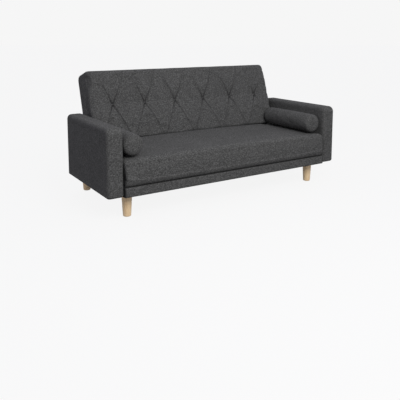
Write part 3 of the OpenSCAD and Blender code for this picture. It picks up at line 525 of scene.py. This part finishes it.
def line(start, end, steps):
    """Points on a straight line, without its last."""
    t = np.linspace(0, 1, steps, endpoint=False)[:, None]
    return np.asarray(start) * (1 - t) + np.asarray(end) * t


def outward(points):
    """The direction each point of a closed outline faces: the step from its neighbour
    before to the one after, turned by a quarter."""
    along = np.roll(points, -1, axis=0) - np.roll(points, 1, axis=0)
    out = np.stack([along[:, 1], -along[:, 0]], axis=-1)
    return out / np.linalg.norm(out, axis=1, keepdims=True)


def quarter(steps):
    """Angles from 0 to 90 degrees, in radians."""
    return np.linspace(0, math.pi / 2, steps)


def stations(half, end_r, flats, edges, tips, smallest, crown=0.0):
    """Where the rings stand along a piece that is 2 half long, how far each is drawn in
    and how much it shrinks: flats of them evenly on the straight part, edges on each
    rounded end, where the drawing in is end_r (1 - cos a), and tips that shrink to the
    smallest on each end face, which stands out in a low crown."""
    edge = quarter(edges)
    round_x = half - end_r * (1 - np.sin(edge))
    round_in = end_r * (1 - np.cos(edge))
    straight = half - end_r
    flat = np.linspace(-straight, straight, flats)
    close = np.linspace(1, smallest, tips + 1)[1:]
    tip = half + crown * (1 - close ** 3)
    ends = np.full(tips, end_r)
    x = np.concatenate([-tip[::-1], -round_x[::-1][:-1], flat, round_x[1:], tip])
    inset = np.concatenate([ends, round_in[::-1][:-1], 0 * flat, round_in[1:], ends])
    shrink = np.concatenate([close[::-1], np.ones(len(x) - 2 * tips), close])
    return x, inset, shrink


print("helpers for covers are ready")

# %% [markdown]
# ## The tufted back
#
# The back is one slab. Six covered buttons in a row are pulled into it, and from each
# one four folds run up and down to places near the slab's top and bottom edges, so
# the face is a row of diamonds. A fold is a tight crease at the bottom of a wide
# soft valley. It is deepest at its button and soon grows shallow, because there the
# filling pushes it out again.

# %% The back's sizes, in slab coordinates: n to the rear and d up the face
SLAB_FRONT, SLAB_REAR = -65.0, 124.2
SLAB_LOW, SLAB_HIGH = 42.0, 561.0
SLAB_HALF = 812.0
GRID_MM = 4.0
# Radius and crown of the ends, radius of the face's ends, taper to the face, its swell
SLAB_END_R, SLAB_CROWN = 24.0, 3.0
FACE_END_R, SLAB_TAPER, FACE_BULGE = 44.0, 10.0, 12.0
# The row of buttons, how far its folds reach, and where the buttons are
ROW_BUTTON, ROW_REACH = 299.0, 290.0
PITCH, ROW_SHIFT = 258.0, 10.0
BUTTON_X = ROW_SHIFT + (np.arange(6) - 2.5) * PITCH
# Depths and widths of what the tufting is made of
VALLEY_MM, VALLEY_WIDTH = 6.0, 32.0
CREASE_MM, CREASE_WIDTH = 3.5, 4.5
WELL_MM, WELL_WIDTH = 19.0, 62.0
ROLL_ABOVE, ROLL_BELOW = 9.0, 5.0
PLEAT_MM, PLEATS, PLEAT_RING = 1.5, 9, 24.0
print("buttons at", BUTTON_X.tolist(), "mm")

# %% The slab's side view


def slab_outline():
    """The slab's side view: points, the direction each faces, and how much of the tufting
    reaches it. It runs along the bottom, up the rear, over the top and down the face."""
    low_r, foot_r, rear_r, front_r = 15.0, 28.0, 36.0, 40.0
    front, rear, foot, top = SLAB_FRONT, SLAB_REAR, SLAB_LOW, SLAB_HIGH
    face = int((top - foot - front_r - foot_r) / GRID_MM)
    parts = [
        (line((front + foot_r, foot), (rear - low_r, foot), 12), 0, 0),
        (arc((rear - low_r, foot + low_r), low_r, 270, 360, 6)[:-1], 0, 0),
        (line((rear, foot + low_r), (rear, top - rear_r), 30), 0, 0),
        (arc((rear - rear_r, top - rear_r), rear_r, 0, 90, 11)[:-1], 0, 0),
        (line((rear - rear_r, top), (front + front_r, top), 14), 0, 0.05),
        (arc((front + front_r, top - front_r), front_r, 90, 180, 13)[:-1], 0.05, 1),
        (line((front, top - front_r), (front, foot + foot_r), face), 1, 1),
        (arc((front + foot_r, foot + foot_r), foot_r, 180, 270, 12)[:-1], 1, 0),
    ]
    points = np.concatenate([p for p, *_ in parts])
    share = np.concatenate([np.linspace(a, b, len(p)) for p, a, b in parts]) ** 1.5
    return points, outward(points), share


print(len(slab_outline()[0]), "points round the slab")

# %% Folds and buttons
# The folds of the six buttons, left to right: how strong each is away from its button,
# and the share of the way to the slab's edge where it fades out
FOLDS = {
    "up_right": ((0.42, 0.42, 0.40, 0.42, 0.42, 0.20), (1.3, 1.3, 1.2, 1.3, 1.2, 0.35)),
    "up_left": ((0.50, 0.45, 0.45, 0.50, 0.55, 0.30), (0.8, 0.7, 0.8, 0.75, 0.6, 0.35)),
    "down_left": ((0.38, 0.42, 0.48, 0.45, 0.38, 0.35), (0.9, 1.3, 1.3, 1.0, 1.0, 1.0)),
    "down_right": ((0.62, 0.48, 0.50, 0.42, 0.42, 0.03), (1.3, 1.3, 1.3, 1.3, 1.3, 0.3)),
}
BOW_UP, BOW_DOWN = 5.0, 8.0


def folds(x, d, way):
    """Distance of a point of the face from the nearest fold that leans one way (1: from
    each button up to the right and down to the left, -1: the other), and how strong the
    fold is there. It is strong beside its button and soon falls to its own strength. Folds
    bow outwards a little, except those up to the left. Only those of a button count."""
    share = (d - ROW_BUTTON) / ROW_REACH
    far = np.abs(share)
    bow = np.where(share > 0, BOW_UP * (way > 0) * np.sin(math.pi * np.minimum(far, 1)),
                   -BOW_DOWN * way * np.sin(2.4 * np.minimum(far, 1)))
    pitches = (x - ROW_SHIFT - bow) / PITCH - way * share / 2 - 0.5
    button = np.round(pitches)
    gap = np.abs(pitches - button) * PITCH * math.cos(math.atan2(PITCH / 2, ROW_REACH))
    gap = np.where(np.abs(button + 0.5) < 3, gap, 1e3)
    number = np.clip(button + 3, 0, 5).astype(int)
    up, down = ("up_right", "down_left") if way > 0 else ("up_left", "down_right")
    own, end = (np.where(share > 0, np.array(FOLDS[up][k])[number],
                         np.array(FOLDS[down][k])[number]) for k in (0, 1))
    strong = own + (0.95 - own) * np.exp(-(far / 0.2) ** 1.5)
    return gap, np.clip(strong * np.clip((end - far) / 0.2, 0, 1), 0.03, 1)


def tufting(x, d):
    """Depth of the face at a point, in millimetres, and its painted shade, dark in creases and
    at buttons. Four things add up: a wide soft valley along each fold, a tight crease at
    its bottom, a well at each button, and a long roll above and below the buttons' row."""
    rising, strong_r = folds(x, d, 1)
    falling, strong_f = folds(x, d, -1)
    share = (d - ROW_BUTTON) / ROW_REACH
    # Folds are half as deep past the outer buttons
    side = 1 - 0.5 * np.clip((np.abs(x - ROW_SHIFT) - 690) / 90, 0, 1)
    valley, tight = 0, 0
    for gap, strong in ((rising, strong_r), (falling, strong_f)):
        wide = np.exp(-(gap / VALLEY_WIDTH) ** 1.2) * (0.4 + 0.6 * strong)
        valley = np.maximum(valley, wide)
        tight = np.maximum(tight, np.exp(-(gap / CREASE_WIDTH) ** 1.6) * strong)
    valley, tight = VALLEY_MM * side * valley, side * tight
    away = np.stack([x[..., None] - BUTTON_X, d[..., None] - ROW_BUTTON + 0 * BUTTON_X])
    r = np.hypot(away[0], away[1])
    turn = np.arctan2(away[1], away[0])
    well = (WELL_MM * np.exp(-(r / WELL_WIDTH) ** 1.3)).sum(axis=-1)
    roll = np.where(share > 0, ROLL_ABOVE, ROLL_BELOW) * (1 - 2 * np.abs(share)) ** 2
    ring = PLEAT_MM * np.exp(-((r - PLEAT_RING) / 16) ** 2)
    pleats = (ring * np.cos(PLEATS * turn + BUTTON_X)).sum(axis=-1)
    uneven = smooth_noise(x, d, 180, seed=3)
    depth = valley + CREASE_MM * tight + well + roll + pleats + uneven
    # All of it fades over the lowest 50 mm, above the seat
    depth = depth * (0.3 + 0.7 * np.clip((d - SLAB_LOW - 4) / 50, 0, 1))
    # Painted shade: dark in each tight crease and in a small round at each button
    shadow = 0.5 * np.exp(-(r / 12) ** 2).sum(axis=-1)
    return depth, np.clip(0.75 * tight + shadow, 0, 0.8)


deepest, _ = tufting(BUTTON_X, np.full(6, ROW_BUTTON))
print("at the buttons the face is", deepest.round(1).tolist(), "mm deep")

# %% Make the back


def slab_stations():
    """The slab's stations, and how far the face alone is drawn in at its ends."""
    half = SLAB_HALF - SLAB_CROWN
    flats = int(2 * (half - SLAB_END_R) / GRID_MM)
    x, inset, shrink = stations(half, SLAB_END_R, flats, 9, 12, 0.04, SLAB_CROWN)
    in_end = np.clip(1 - (half - np.abs(x)) / FACE_END_R, 0, 1)
    face_inset = FACE_END_R * (1 - np.sqrt(1 - in_end ** 2))
    return x, inset, face_inset, shrink


def back_rings():
    """The slab's rings in slab coordinates. The face swells forward in a low parabola, each
    outline point is pushed in by the tufting along the way it faces, and the ring is drawn
    in about the slab's middle, at the ends of the face more than elsewhere. The slab is a
    little narrower at its face than at its rear."""
    outline, out, share = slab_outline()
    x, inset, face_inset, shrink = slab_stations()
    across, d = np.meshgrid(x, outline[:, 1], indexing="ij")
    # dark is the painted shade of the creases and buttons, kept to the face
    depth, dark = tufting(across, d)
    depth, dark = depth * share, dark * share * (shrink[:, None] > 0.99)
    loose = 1 + smooth_noise(across, d, 260, seed=8)
    depth = depth + 0.5 * np.clip(loose, 0, 2) * (1 - share)
    height = (d - SLAB_LOW) / (SLAB_HIGH - SLAB_LOW)
    depth = depth - 4 * FACE_BULGE * height * (1 - height) * share
    n = outline[:, 0] - out[:, 0] * depth
    d = outline[:, 1] - out[:, 1] * depth
    mid_n, mid_d = (SLAB_FRONT + SLAB_REAR) / 2, (SLAB_LOW + SLAB_HIGH) / 2
    half_n, half_d = (SLAB_REAR - SLAB_FRONT) / 2, (SLAB_HIGH - SLAB_LOW) / 2
    # 1 in the front half of the slab and 0 in its rear half, over 60 mm
    ahead = np.clip(0.5 - (outline[:, 0] - mid_n) / 60, 0, 1)
    drawn = face_inset[:, None] * ahead + 0.7 * inset[:, None] * (1 - ahead)
    n = mid_n + (n - mid_n) * (1 - drawn / half_n) * shrink[:, None]
    lower = np.clip(0.5 + (outline[:, 1] - mid_d) / 300, 0.1, 0.7)
    d = mid_d + (d - mid_d) * (1 - inset[:, None] * lower / half_d) * shrink[:, None]
    # The taper moves only the last 90 mm at each end
    side = (np.clip((np.abs(x) - SLAB_HALF + 90) / 90, 0, 1) * np.sign(x))[:, None]
    narrow = SLAB_TAPER * (SLAB_REAR - outline[:, 0]) / (SLAB_REAR - SLAB_FRONT)
    rings = np.stack([x[:, None] - side * narrow, n, d], axis=-1)
    # The cloth is held where it is stitched, within 9 mm of a fold
    gaps = [folds(across, outline[None, :, 1] + 0 * across, way)[0] for way in (1, -1)]
    near = np.exp(-(np.minimum(*gaps) / 9) ** 2)
    held = np.maximum(np.where(share > 0.5, near, 1), shrink[:, None] < 0.99)
    return rings, held, dark


print("the back")
rings, held, dark = back_rings()
rings = swell(rings, held, cap_mm=6.0, pressure=3.0, slack=0.02)
back = cover("tufted_back", to_frame(lean_back(rings)), dark)
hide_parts("back_cover", "back_foam")
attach(back, "backrest")

# %% [markdown]
# ## The seat
#
# The seat is a single bench cushion. It is highest along its middle, falls a little to
# its ends, and its front edge is a large soft curve that swells past the arms. At the
# bottom of the front it is sewn to the base, and the cloth puckers there.

# %% The seat's sizes
SEAT_HALF = 833.0
SEAT_TOP, SEAT_FOOT = 410.0, 218.5
SEAT_BACK = 637.5
# How far the ends round off on top and at the front, and step in at the rear corners
SEAT_END_R, SEAT_SIDE_R = 36.0, 8.0
SEAT_END_X, SEAT_CORNER = 780.0, 20.0
# The front's swell, its tuck at the foot and its upper edge
SEAT_BULGE, SEAT_TUCK, SEAT_EDGE_R = 15.0, 6.0, 42.0
# The top's crown, its fall to the ends and its rise towards the back
SEAT_CROWN, SEAT_FALL, SEAT_REAR_RISE = 6.0, 10.0, 13.0
# How dark the painted shade is in the seams, and where the seat's ends meet the arms
SEAM_SHADE, END_SHADE = 0.7, 0.6
BOLSTER_X = 755.0
# The hollow round the hinge's pin that the back's foot turns in
HEEL_R, HEEL_TURN = 39.5, 72.0
print("the seat is", 2 * SEAT_HALF, "mm wide and its top is", SEAT_TOP, "mm high")

# %% The seat's side view


def seat_front(t):
    """How far back the front of the seat is, from its foot at 0 to its edge at 1: a sine
    hump that swells forward, and at the foot a tight curl back into the seam."""
    hump = SEAT_BULGE * np.sin(np.radians(150) * t ** 0.8) ** 0.8
    curl = SEAT_TUCK * (1 - t) ** 6 + 5.0 * np.exp(-t / 0.06)
    return curl - hump


def seat_outline():
    """Side view of the seat in y and z: along the bottom, up the rear, round the hinge's
    arc, over the crowned top to the front edge and down the swollen front. Also how much
    of the rise at the rear each point takes: a quarter circle up, then a slow fall."""
    heel = np.array([
        HINGE_Y - 70 * math.cos(LEAN) + HEEL_R * math.sin(LEAN),
        HINGE_Z + HEEL_R * math.cos(LEAN) + 70 * math.sin(LEAN),
    ])
    turn = math.radians(HEEL_TURN)
    leave = (HINGE_Y + HEEL_R * math.cos(turn), HINGE_Z + HEEL_R * math.sin(turn))
    edge_y, edge_z = 32.0, SEAT_TOP - SEAT_CROWN - SEAT_EDGE_R + 4
    t = np.linspace(0, 1, 84) ** 1.3
    top = np.stack([edge_y + (heel[0] - edge_y) * (1 - t),
                    SEAT_TOP - 1 - SEAT_CROWN * np.maximum(2 * t - 1, (1 - 2 * t) / 2) ** 3],
                   axis=-1)
    rounded = arc((edge_y, edge_z), SEAT_EDGE_R, 90, 168, 14)[1:]
    down = np.linspace(1, 0, 44) ** 1.4
    front = np.stack([seat_front(down), SEAT_FOOT + (rounded[-1][1] - 10 - SEAT_FOOT) * down],
                     axis=-1)
    behind = heel[0] - top[:, 0]
    climb = np.sqrt(1 - np.clip(1 - behind / 14, 0, 1) ** 2)
    slow = np.clip(1 - (behind - 14) / 240, 0, 1)
    parts = [
        line(front[-1] + (2, 0), (SEAT_BACK, SEAT_FOOT), 40),
        line((SEAT_BACK, SEAT_FOOT), (SEAT_BACK, HINGE_Z), 14),
        arc((HINGE_Y, HINGE_Z), HEEL_R, 0, HEEL_TURN, 8),
        line(leave, heel, 6)[1:],
        top,
        rounded,
        front,
    ]
    rise = [climb * slow ** 2 * (3 - 2 * slow) if p is top else np.zeros(len(p))
            for p in parts]
    return np.concatenate(parts), np.concatenate(rise)


print(len(seat_outline()[0]), "points round the seat")

# %% Make the seat


def seat_rings():
    """The seat's rings in millimetres. Points on the top fall with the square of the
    distance from the middle, and are lowest under the bolsters. The ends are drawn in only
    at the front and on top, because the bottom meets the base, and at the rear they step
    in a little to leave room for the hinges."""
    outline, rise = seat_outline()
    along = stations(SEAT_HALF, SEAT_END_R, 230, 8, 8, 0.05)
    x, inset, shrink = (v[:, None] for v in along)
    y, z = outline[None, :, 0] + 0 * x, outline[None, :, 1] + 0 * x
    # Shares that are 1 on the top, at the front, at the seam and before the back
    on_top = np.clip((z - SEAT_FOOT - 96) / 88, 0, 1)
    in_front = np.clip(1 - y / 76, 0, 1)
    low = np.exp(-((z - SEAT_FOOT) / 26) ** 2) * (y < 20)
    ahead = np.clip((HINGE_Y - 60 - y) / 110, 0, 1)
    # Puckers at the seam and soft hollows on the top
    pucker = 1.8 * low * np.clip(smooth_noise(x, z * 0.2, 60, seed=5), -1, 1)
    soft = 1.4 * smooth_noise(x, y, 420, seed=6) * on_top
    # Shadow in the seam and where the ends meet the arms
    seam = SEAM_SHADE * np.exp(-((z - SEAT_FOOT) / 6) ** 2) * (y < 26) * (shrink > 0.99)
    shade_at_end = END_SHADE * np.clip(1 - (SEAT_HALF - np.abs(x)) / 16, 0, 1)
    dark = np.maximum(seam, shade_at_end * (z < SEAT_TOP - 30) * (y < 60))
    z = z - on_top * (SEAT_FALL * (x / BOLSTER_X) ** 2 + inset * ahead) - np.abs(soft) * ahead
    z = z + SEAT_REAR_RISE * rise * np.clip((710 - np.abs(x)) / 70, 0, 1)
    y = y + in_front * inset * SEAT_SIDE_R / SEAT_END_R + pucker
    # The end faces close to their middles, and the rear corners step in
    mid_y, mid_z = SEAT_BACK / 2, (SEAT_FOOT + SEAT_TOP) / 2
    y = mid_y + (y - mid_y) * shrink
    z = mid_z + (z - mid_z) * shrink
    past = np.maximum(np.abs(x) - SEAT_END_X, 0) * np.sign(x)
    x = x - past * SEAT_CORNER / (SEAT_HALF - SEAT_END_X) * np.clip((y - 590) / 30, 0, 1)
    rings = np.stack([x, y, z], axis=-1)
    # The cloth is free from 12 mm above the seam, as far back as the hinges
    free = np.clip((outline[:, 1] - SEAT_FOOT - 12) / 40, 0, 1) * (outline[:, 0] < 560)
    held = np.maximum(1 - free[None] + 0 * y, (shrink < 0.99) * 1.0)
    return rings, held, dark


print("the seat")
rings, held, dark = seat_rings()
rings = swell(rings, held, cap_mm=6.0, pressure=1.5, slack=0.008)
seat = cover("bench_seat_cushion", to_frame(rings), dark)
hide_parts("seat_cover", "seat_foam")
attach(seat, "base")

# %% [markdown]
# ## The band below the seat
#
# The front rail of the base is wrapped in thin wadding and the same cloth. It is a
# long box with soft edges, and the shadow between it and the seat is the seam. The
# rear rail and what shows of the side rails are wrapped in the same way.

# %% Wrapped rails
BAND_HALF, BAND_FACE, BAND_REAR = 834.3, -3.5, 44.0
BAND_LOW, BAND_HIGH = 153.8, 218.0


def band_rings(half, face, rear, low=BAND_LOW, high=BAND_HIGH, bulge=1.2, edge_r=8.0,
               end_r=5.0):
    """The rings of a wrapped rail that is 2 half long: a rounded box from its face to its
    rear, whose face swells a little, drawn in over a small quarter circle at each end."""
    low_r, high_r, inner_r = edge_r + 1, edge_r, 3.0
    outline = np.concatenate([
        line((face + low_r, low), (rear - inner_r, low), 6),
        arc((rear - inner_r, low + inner_r), inner_r, -90, 0, 4),
        arc((rear - inner_r, high - inner_r), inner_r, 0, 90, 4),
        line((rear - inner_r, high), (face + high_r, high), 6)[1:],
        arc((face + high_r, high - high_r), high_r, 90, 180, 7)[:-1],
        line((face, high - high_r), (face, low + low_r), 12),
        arc((face + low_r, low + low_r), low_r, 180, 270, 7)[:-1],
    ])
    along = stations(half, end_r, max(12, int((half - end_r) / 4)), 6, 5, 0.1)
    x, inset, shrink = (v[:, None] for v in along)
    y, z = outline[None, :, 0] + 0 * x, outline[None, :, 1] + 0 * x
    mid_y, mid_z = (face + rear) / 2, (low + high) / 2
    swell_out = np.exp(-((z - mid_z) / 26) ** 4) * (y < mid_y - 10)
    y = y - bulge * swell_out * (1 + 0.4 * smooth_noise(x, z, 150, seed=31))
    y = mid_y + (y - mid_y) * (1 - 2 * inset / (rear - face)) * shrink
    z = mid_z + (z - mid_z) * (1 - 2 * inset / (high - low)) * shrink
    return np.stack([x + 0 * y, y, z], axis=-1), shrink > 0.99


print("the bands")
rings, on_face = band_rings(BAND_HALF, BAND_FACE, BAND_REAR)
# Painted shade along the seam under the seat, and at the band's ends beside the arms
seam = np.exp(-((rings[..., 2] - BAND_HIGH) / 2.5) ** 2) * on_face
shade_at_end = np.clip(1 - (BAND_HALF - np.abs(rings[..., 0])) / 14, 0, 1)
dark = SEAM_SHADE * np.maximum(seam, shade_at_end)
front_band = cover("front_band", to_frame(rings), dark)
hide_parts("base_front_band")

# The rear rail's wrap faces backwards. Each side wrap faces outwards, lies flat against
# the arm and runs from under the seat into the rear wrap. Both are thin, so their edges
# are nearly as sharp as the rails inside, which would show through a rounder one
REAR_FACE, REAR_INNER, REAR_HALF = 848.0, 814.7, 836.5
SIDE_FACE, SIDE_INNER, SIDE_START = 835.0, 804.4, 625.0
WRAP_LOW, WRAP_HIGH, WRAP_EDGE_R, WRAP_END_R = 154.3, 218.4, 2.0, 1.5
rings, _ = band_rings(REAR_HALF, 0.0, REAR_FACE - REAR_INNER, WRAP_LOW, WRAP_HIGH,
                      edge_r=WRAP_EDGE_R, end_r=WRAP_END_R)
rear_band = cover("rear_band", to_frame(rings * (1, -1, 1) + (0, REAR_FACE, 0)))
side_bands = []
side_end = REAR_INNER + 6
for side, name in ((-1, "left"), (1, "right")):
    rings, _ = band_rings((side_end - SIDE_START) / 2, 0.0, SIDE_FACE - SIDE_INNER,
                          WRAP_LOW, WRAP_HIGH - 0.4, 0.0, WRAP_EDGE_R, WRAP_END_R)
    x, y, z = rings[..., 0], rings[..., 1], rings[..., 2]
    turned = np.stack([side * (SIDE_FACE - y), x + (side_end + SIDE_START) / 2, z], axis=-1)
    side_bands.append(cover(f"side_band_{name}", to_frame(turned)))
for band in (front_band, rear_band, *side_bands):
    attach(band, "base")

# %% [markdown]
# ## The arms
#
# Each arm is a flat timber box wrapped in fibre and cloth: two side panels and one
# strip that runs up the front, over the top and down the back. They meet on the
# rounded edges, which the cloth pulls smooth.

# %% Arms
ARM_HALF_T, ARM_MID_X = 57.5, 892.5
ARM_DEPTH, ARM_LOW, ARM_HIGH = 740.0, 159.0, 594.0
ARM_EDGE_R, ARM_CROWN = 24.0, 3.0


def arm_outline():
    """Side view of an arm: a rectangle with large upper and small lower corners. Its
    points are about 8 mm apart."""
    top, low = 40.0, 19.0
    lying, standing = 92, 53
    return np.concatenate([
        line((low, ARM_LOW), (ARM_DEPTH - low, ARM_LOW), lying),
        arc((ARM_DEPTH - low, ARM_LOW + low), low, -90, 0, 7)[:-1],
        line((ARM_DEPTH, ARM_LOW + low), (ARM_DEPTH, ARM_HIGH - top), standing),
        arc((ARM_DEPTH - top, ARM_HIGH - top), top, 0, 90, 12)[:-1],
        line((ARM_DEPTH - top, ARM_HIGH), (top, ARM_HIGH), lying),
        arc((top, ARM_HIGH - top), top, 90, 180, 12)[:-1],
        line((0, ARM_HIGH - top), (0, ARM_LOW + low), standing),
        arc((low, ARM_LOW + low), low, 180, 270, 7)[:-1],
    ])


def arm_rings(side):
    """An arm's rings across its thickness. On the rounded edges the outline is drawn in
    along its own normals, less along the bottom, and the two faces close in to their
    middles with a low crown."""
    outline = arm_outline()
    out = outward(outline)
    along = stations(ARM_HALF_T - ARM_CROWN, ARM_EDGE_R, 15, 9, 23, 0.03)
    x, inset, shrink = (v[:, None] for v in along)
    less_below = np.where(out[:, 1] < 0, 0.4, 1)
    y = outline[None, :, 0] - out[None, :, 0] * inset
    z = outline[None, :, 1] - out[None, :, 1] * inset * less_below
    mid = np.array([ARM_DEPTH / 2, (ARM_LOW + ARM_HIGH) / 2])
    y = mid[0] + (y - mid[0]) * shrink
    z = mid[1] + (z - mid[1]) * shrink
    crown = ARM_CROWN * np.sign(x) * (1 - shrink ** 3)
    lift = 0.8 * smooth_noise(y, z, 240, seed=11 + side) * (shrink < 0.99)
    x = x + crown + lift * np.sign(x) * (1 - shrink)
    rings = np.stack([side * (ARM_MID_X + side * x), y, z], axis=-1)
    rim = (inset > 0) * (shrink > 0.9) + 0 * y
    held = np.maximum(rim, (z < ARM_LOW + 6) * 1.0)
    return rings, held


for side, name in ((-1, "left"), (1, "right")):
    print("arm", name)
    rings, held = arm_rings(side)
    rings = swell(rings, held, cap_mm=2.5, pressure=1.0, slack=0.004)
    arm = cover(f"padded_arm_{name}", to_frame(rings))
    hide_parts(f"arm_cover_{name}")
    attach(arm, "base")

# %% [markdown]
# ## The bolsters
#
# A bolster is a tube of cloth over a fibre roll, with a round of cloth sewn in at each
# end. The seam pulls in a little and the cap domes out beyond it.

# %% Bolsters
BOLSTER_Z = 470.3
BOLSTER_R, BOLSTER_START, BOLSTER_LENGTH = 70.0, 25.0, 528.0


def bolster_profile():
    """Radius and distance along the bolster: a domed cap, a rounded shoulder with a seam
    groove, a barrel that is fullest in its middle, and the same again."""
    dome, shoulder = 9.0, 30.0
    cap = np.linspace(0.03, 1, 14)
    cap_r = (BOLSTER_R - shoulder) * cap
    cap_y = dome * (1 - np.sqrt(1 - 0.75 * cap ** 2)) * 0.8
    turn = quarter(10)[1:]
    rim_r = BOLSTER_R - 2 - shoulder * (1 - np.sin(turn))
    rim_y = cap_y[-1] + shoulder * (1 - np.cos(turn)) * 0.8
    t = np.linspace(0, 1, 60)[1:-1]
    body_y = rim_y[-1] + (BOLSTER_LENGTH - 2 * rim_y[-1]) * t
    body_r = BOLSTER_R - 2 + 2 * (1 - (2 * t - 1) ** 4)
    r = np.concatenate([cap_r, rim_r, body_r, rim_r[::-1], cap_r[::-1]])
    y = np.concatenate([cap_y, rim_y, body_y, BOLSTER_LENGTH - rim_y[::-1],
                        BOLSTER_LENGTH - cap_y[::-1]])
    return r, y


def bolster_rings(side, around=96):
    """Circles along the bolster, with small pleats on the shoulders at the caps' seams
    and soft hollows everywhere. The bottom is held where it lies on the seat."""
    r, y = bolster_profile()
    turn = np.linspace(0, 2 * math.pi, around, endpoint=False)[None]
    r, y = r[:, None], y[:, None]
    mid = np.abs(y / BOLSTER_LENGTH - 0.5) * 2
    pleat = 0.9 * np.cos(14 * turn + 2 * side) * np.exp(-((r - 60) / 9) ** 2) * (mid > 0.85)
    soft = 1.2 * smooth_noise(y + 0 * turn, 75 * np.cos(turn), 150, seed=21 + side)
    soft = soft + 0.8 * smooth_noise(y + 0 * turn, 75 * np.sin(turn), 90, seed=23 + side)
    radius = r - np.abs(soft) * np.clip(r / 60, 0, 1) + np.minimum(pleat, 0)
    x = side * BOLSTER_X + radius * np.cos(turn)
    z = BOLSTER_Z + radius * np.sin(turn)
    rings = np.stack([x, BOLSTER_START + y + 0 * turn, z], axis=-1)
    held = np.clip((-np.sin(turn) - 0.8) * 8, 0, 1) + 0 * y
    return rings, held


for side, name in ((-1, "left"), (1, "right")):
    print("bolster", name)
    rings, held = bolster_rings(side)
    rings = swell(rings, held, cap_mm=2.5, pressure=1.5, slack=0.01)
    bolster = cover(f"round_bolster_{name}", to_frame(rings))
    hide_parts(f"bolster_cover_{name}", f"bolster_filling_{name}")
    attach(bolster, f"bolster_{name}")

# %% [markdown]
# ## Floor and light
#
# A product picture like this has a pale, even ground. The floor is a wide flat sheet
# that the camera mostly sees as its own colour, with part of the sofa's shadow. The
# light is the world's even, slightly cool sky and one large soft box.

# %% Helpers for the ground
GROUND = "#f6f6f6"
FLOOR_LIFT, FLOOR_GLOW, PLAIN_SHARE = 0.045, 1.024, 0.94
SKY, SKY_STRENGTH = "#f1f0ff", 0.62


def seen_directly(tree):
    """1 for rays that show the background: camera, glossy and transmission rays."""
    path = add(tree, "LightPath")
    first = combine(tree, "MAXIMUM", (path, "Is Camera Ray"), (path, "Is Glossy Ray"))
    return combine(tree, "MAXIMUM", (first, "Value"), (path, "Is Transmission Ray"))


def floor_material():
    """Pale matt paper. The camera sees mostly its plain colour, with a share of real
    shading that keeps a soft shadow, and light bounces from it as from a grey floor."""
    material, tree, out = new_material("pale_studio_floor")
    seen = seen_directly(tree)
    paper = add(tree, "BsdfDiffuse", Color=linear(GROUND))
    grey = add(tree, "BsdfDiffuse", Color=linear("#808080"))
    lift = add(tree, "Emission", Color=even(1), Strength=FLOOR_LIFT)
    bounce = add(tree, "AddShader", i0=(grey, "BSDF"), i1=(lift, "Emission"))
    glow = add(tree, "Emission", Color=linear(GROUND), Strength=FLOOR_GLOW)
    shown = add(tree, "MixShader", Fac=PLAIN_SHARE, i1=(paper, "BSDF"),
                i2=(glow, "Emission"))
    both = add(tree, "MixShader", Fac=(seen, "Value"), i1=(bounce, "Shader"),
               i2=(shown, "Shader"))
    tree.links.new(both.outputs["Shader"], out.inputs["Surface"])
    return material


def make_floor(radius=60.0, count=64):
    """A flat disc: one middle point and a circle of points round it."""
    turn = np.linspace(0, 2 * math.pi, count, endpoint=False)
    rim = np.stack([radius * np.cos(turn), radius * np.sin(turn), 0 * turn], axis=-1)
    j = np.arange(count)
    fans = np.stack([np.full(count, count), j, (j + 1) % count], axis=-1)
    floor = put_mesh("studio_floor", np.concatenate([rim, [[0, 0, 0]]]),
                     np.zeros((0, 4), int), fans)
    floor.data.materials.append(floor_material())
    return floor


make_floor()
print("the floor is laid")

# %% World and soft box
world = bpy.data.worlds.new("studio")
bpy.context.scene.world = world
world.use_nodes = True
sky = world.node_tree
sky.nodes.clear()
seen = seen_directly(sky)
lit = add(sky, "Background", Color=linear(SKY), Strength=SKY_STRENGTH)
shown = add(sky, "Background", Color=linear(GROUND), Strength=1.0)
both = add(sky, "MixShader", Fac=(seen, "Value"), i1=(lit, "Background"),
           i2=(shown, "Background"))
sky.links.new(both.outputs["Shader"], add(sky, "OutputWorld").inputs["Surface"])


def soft_box(name, place, target, width, watts):
    """A square lamp of the given width that faces a target, like a studio soft box. It is
    near enough that what is closer to it is a little brighter."""
    data = bpy.data.lights.new(name, "AREA")
    data.energy = watts
    data.size = width
    lamp = bpy.data.objects.new(name, data)
    bpy.context.scene.collection.objects.link(lamp)
    lamp.location = place
    way = np.asarray(target, float) - np.asarray(place, float)
    flat = math.hypot(way[0], way[1])
    about_z = math.atan2(way[1], way[0]) - math.pi / 2
    lamp.rotation_euler = (math.atan2(flat, -way[2]), 0, about_z)
    lamp.visible_camera = False


soft_box("key_box", (-0.5, -3.2, 2.6), target=(0, 0, 0.4), width=1.6, watts=86)
bpy.context.scene.view_settings.view_transform = "Standard"
print("lit by the world and one soft box")
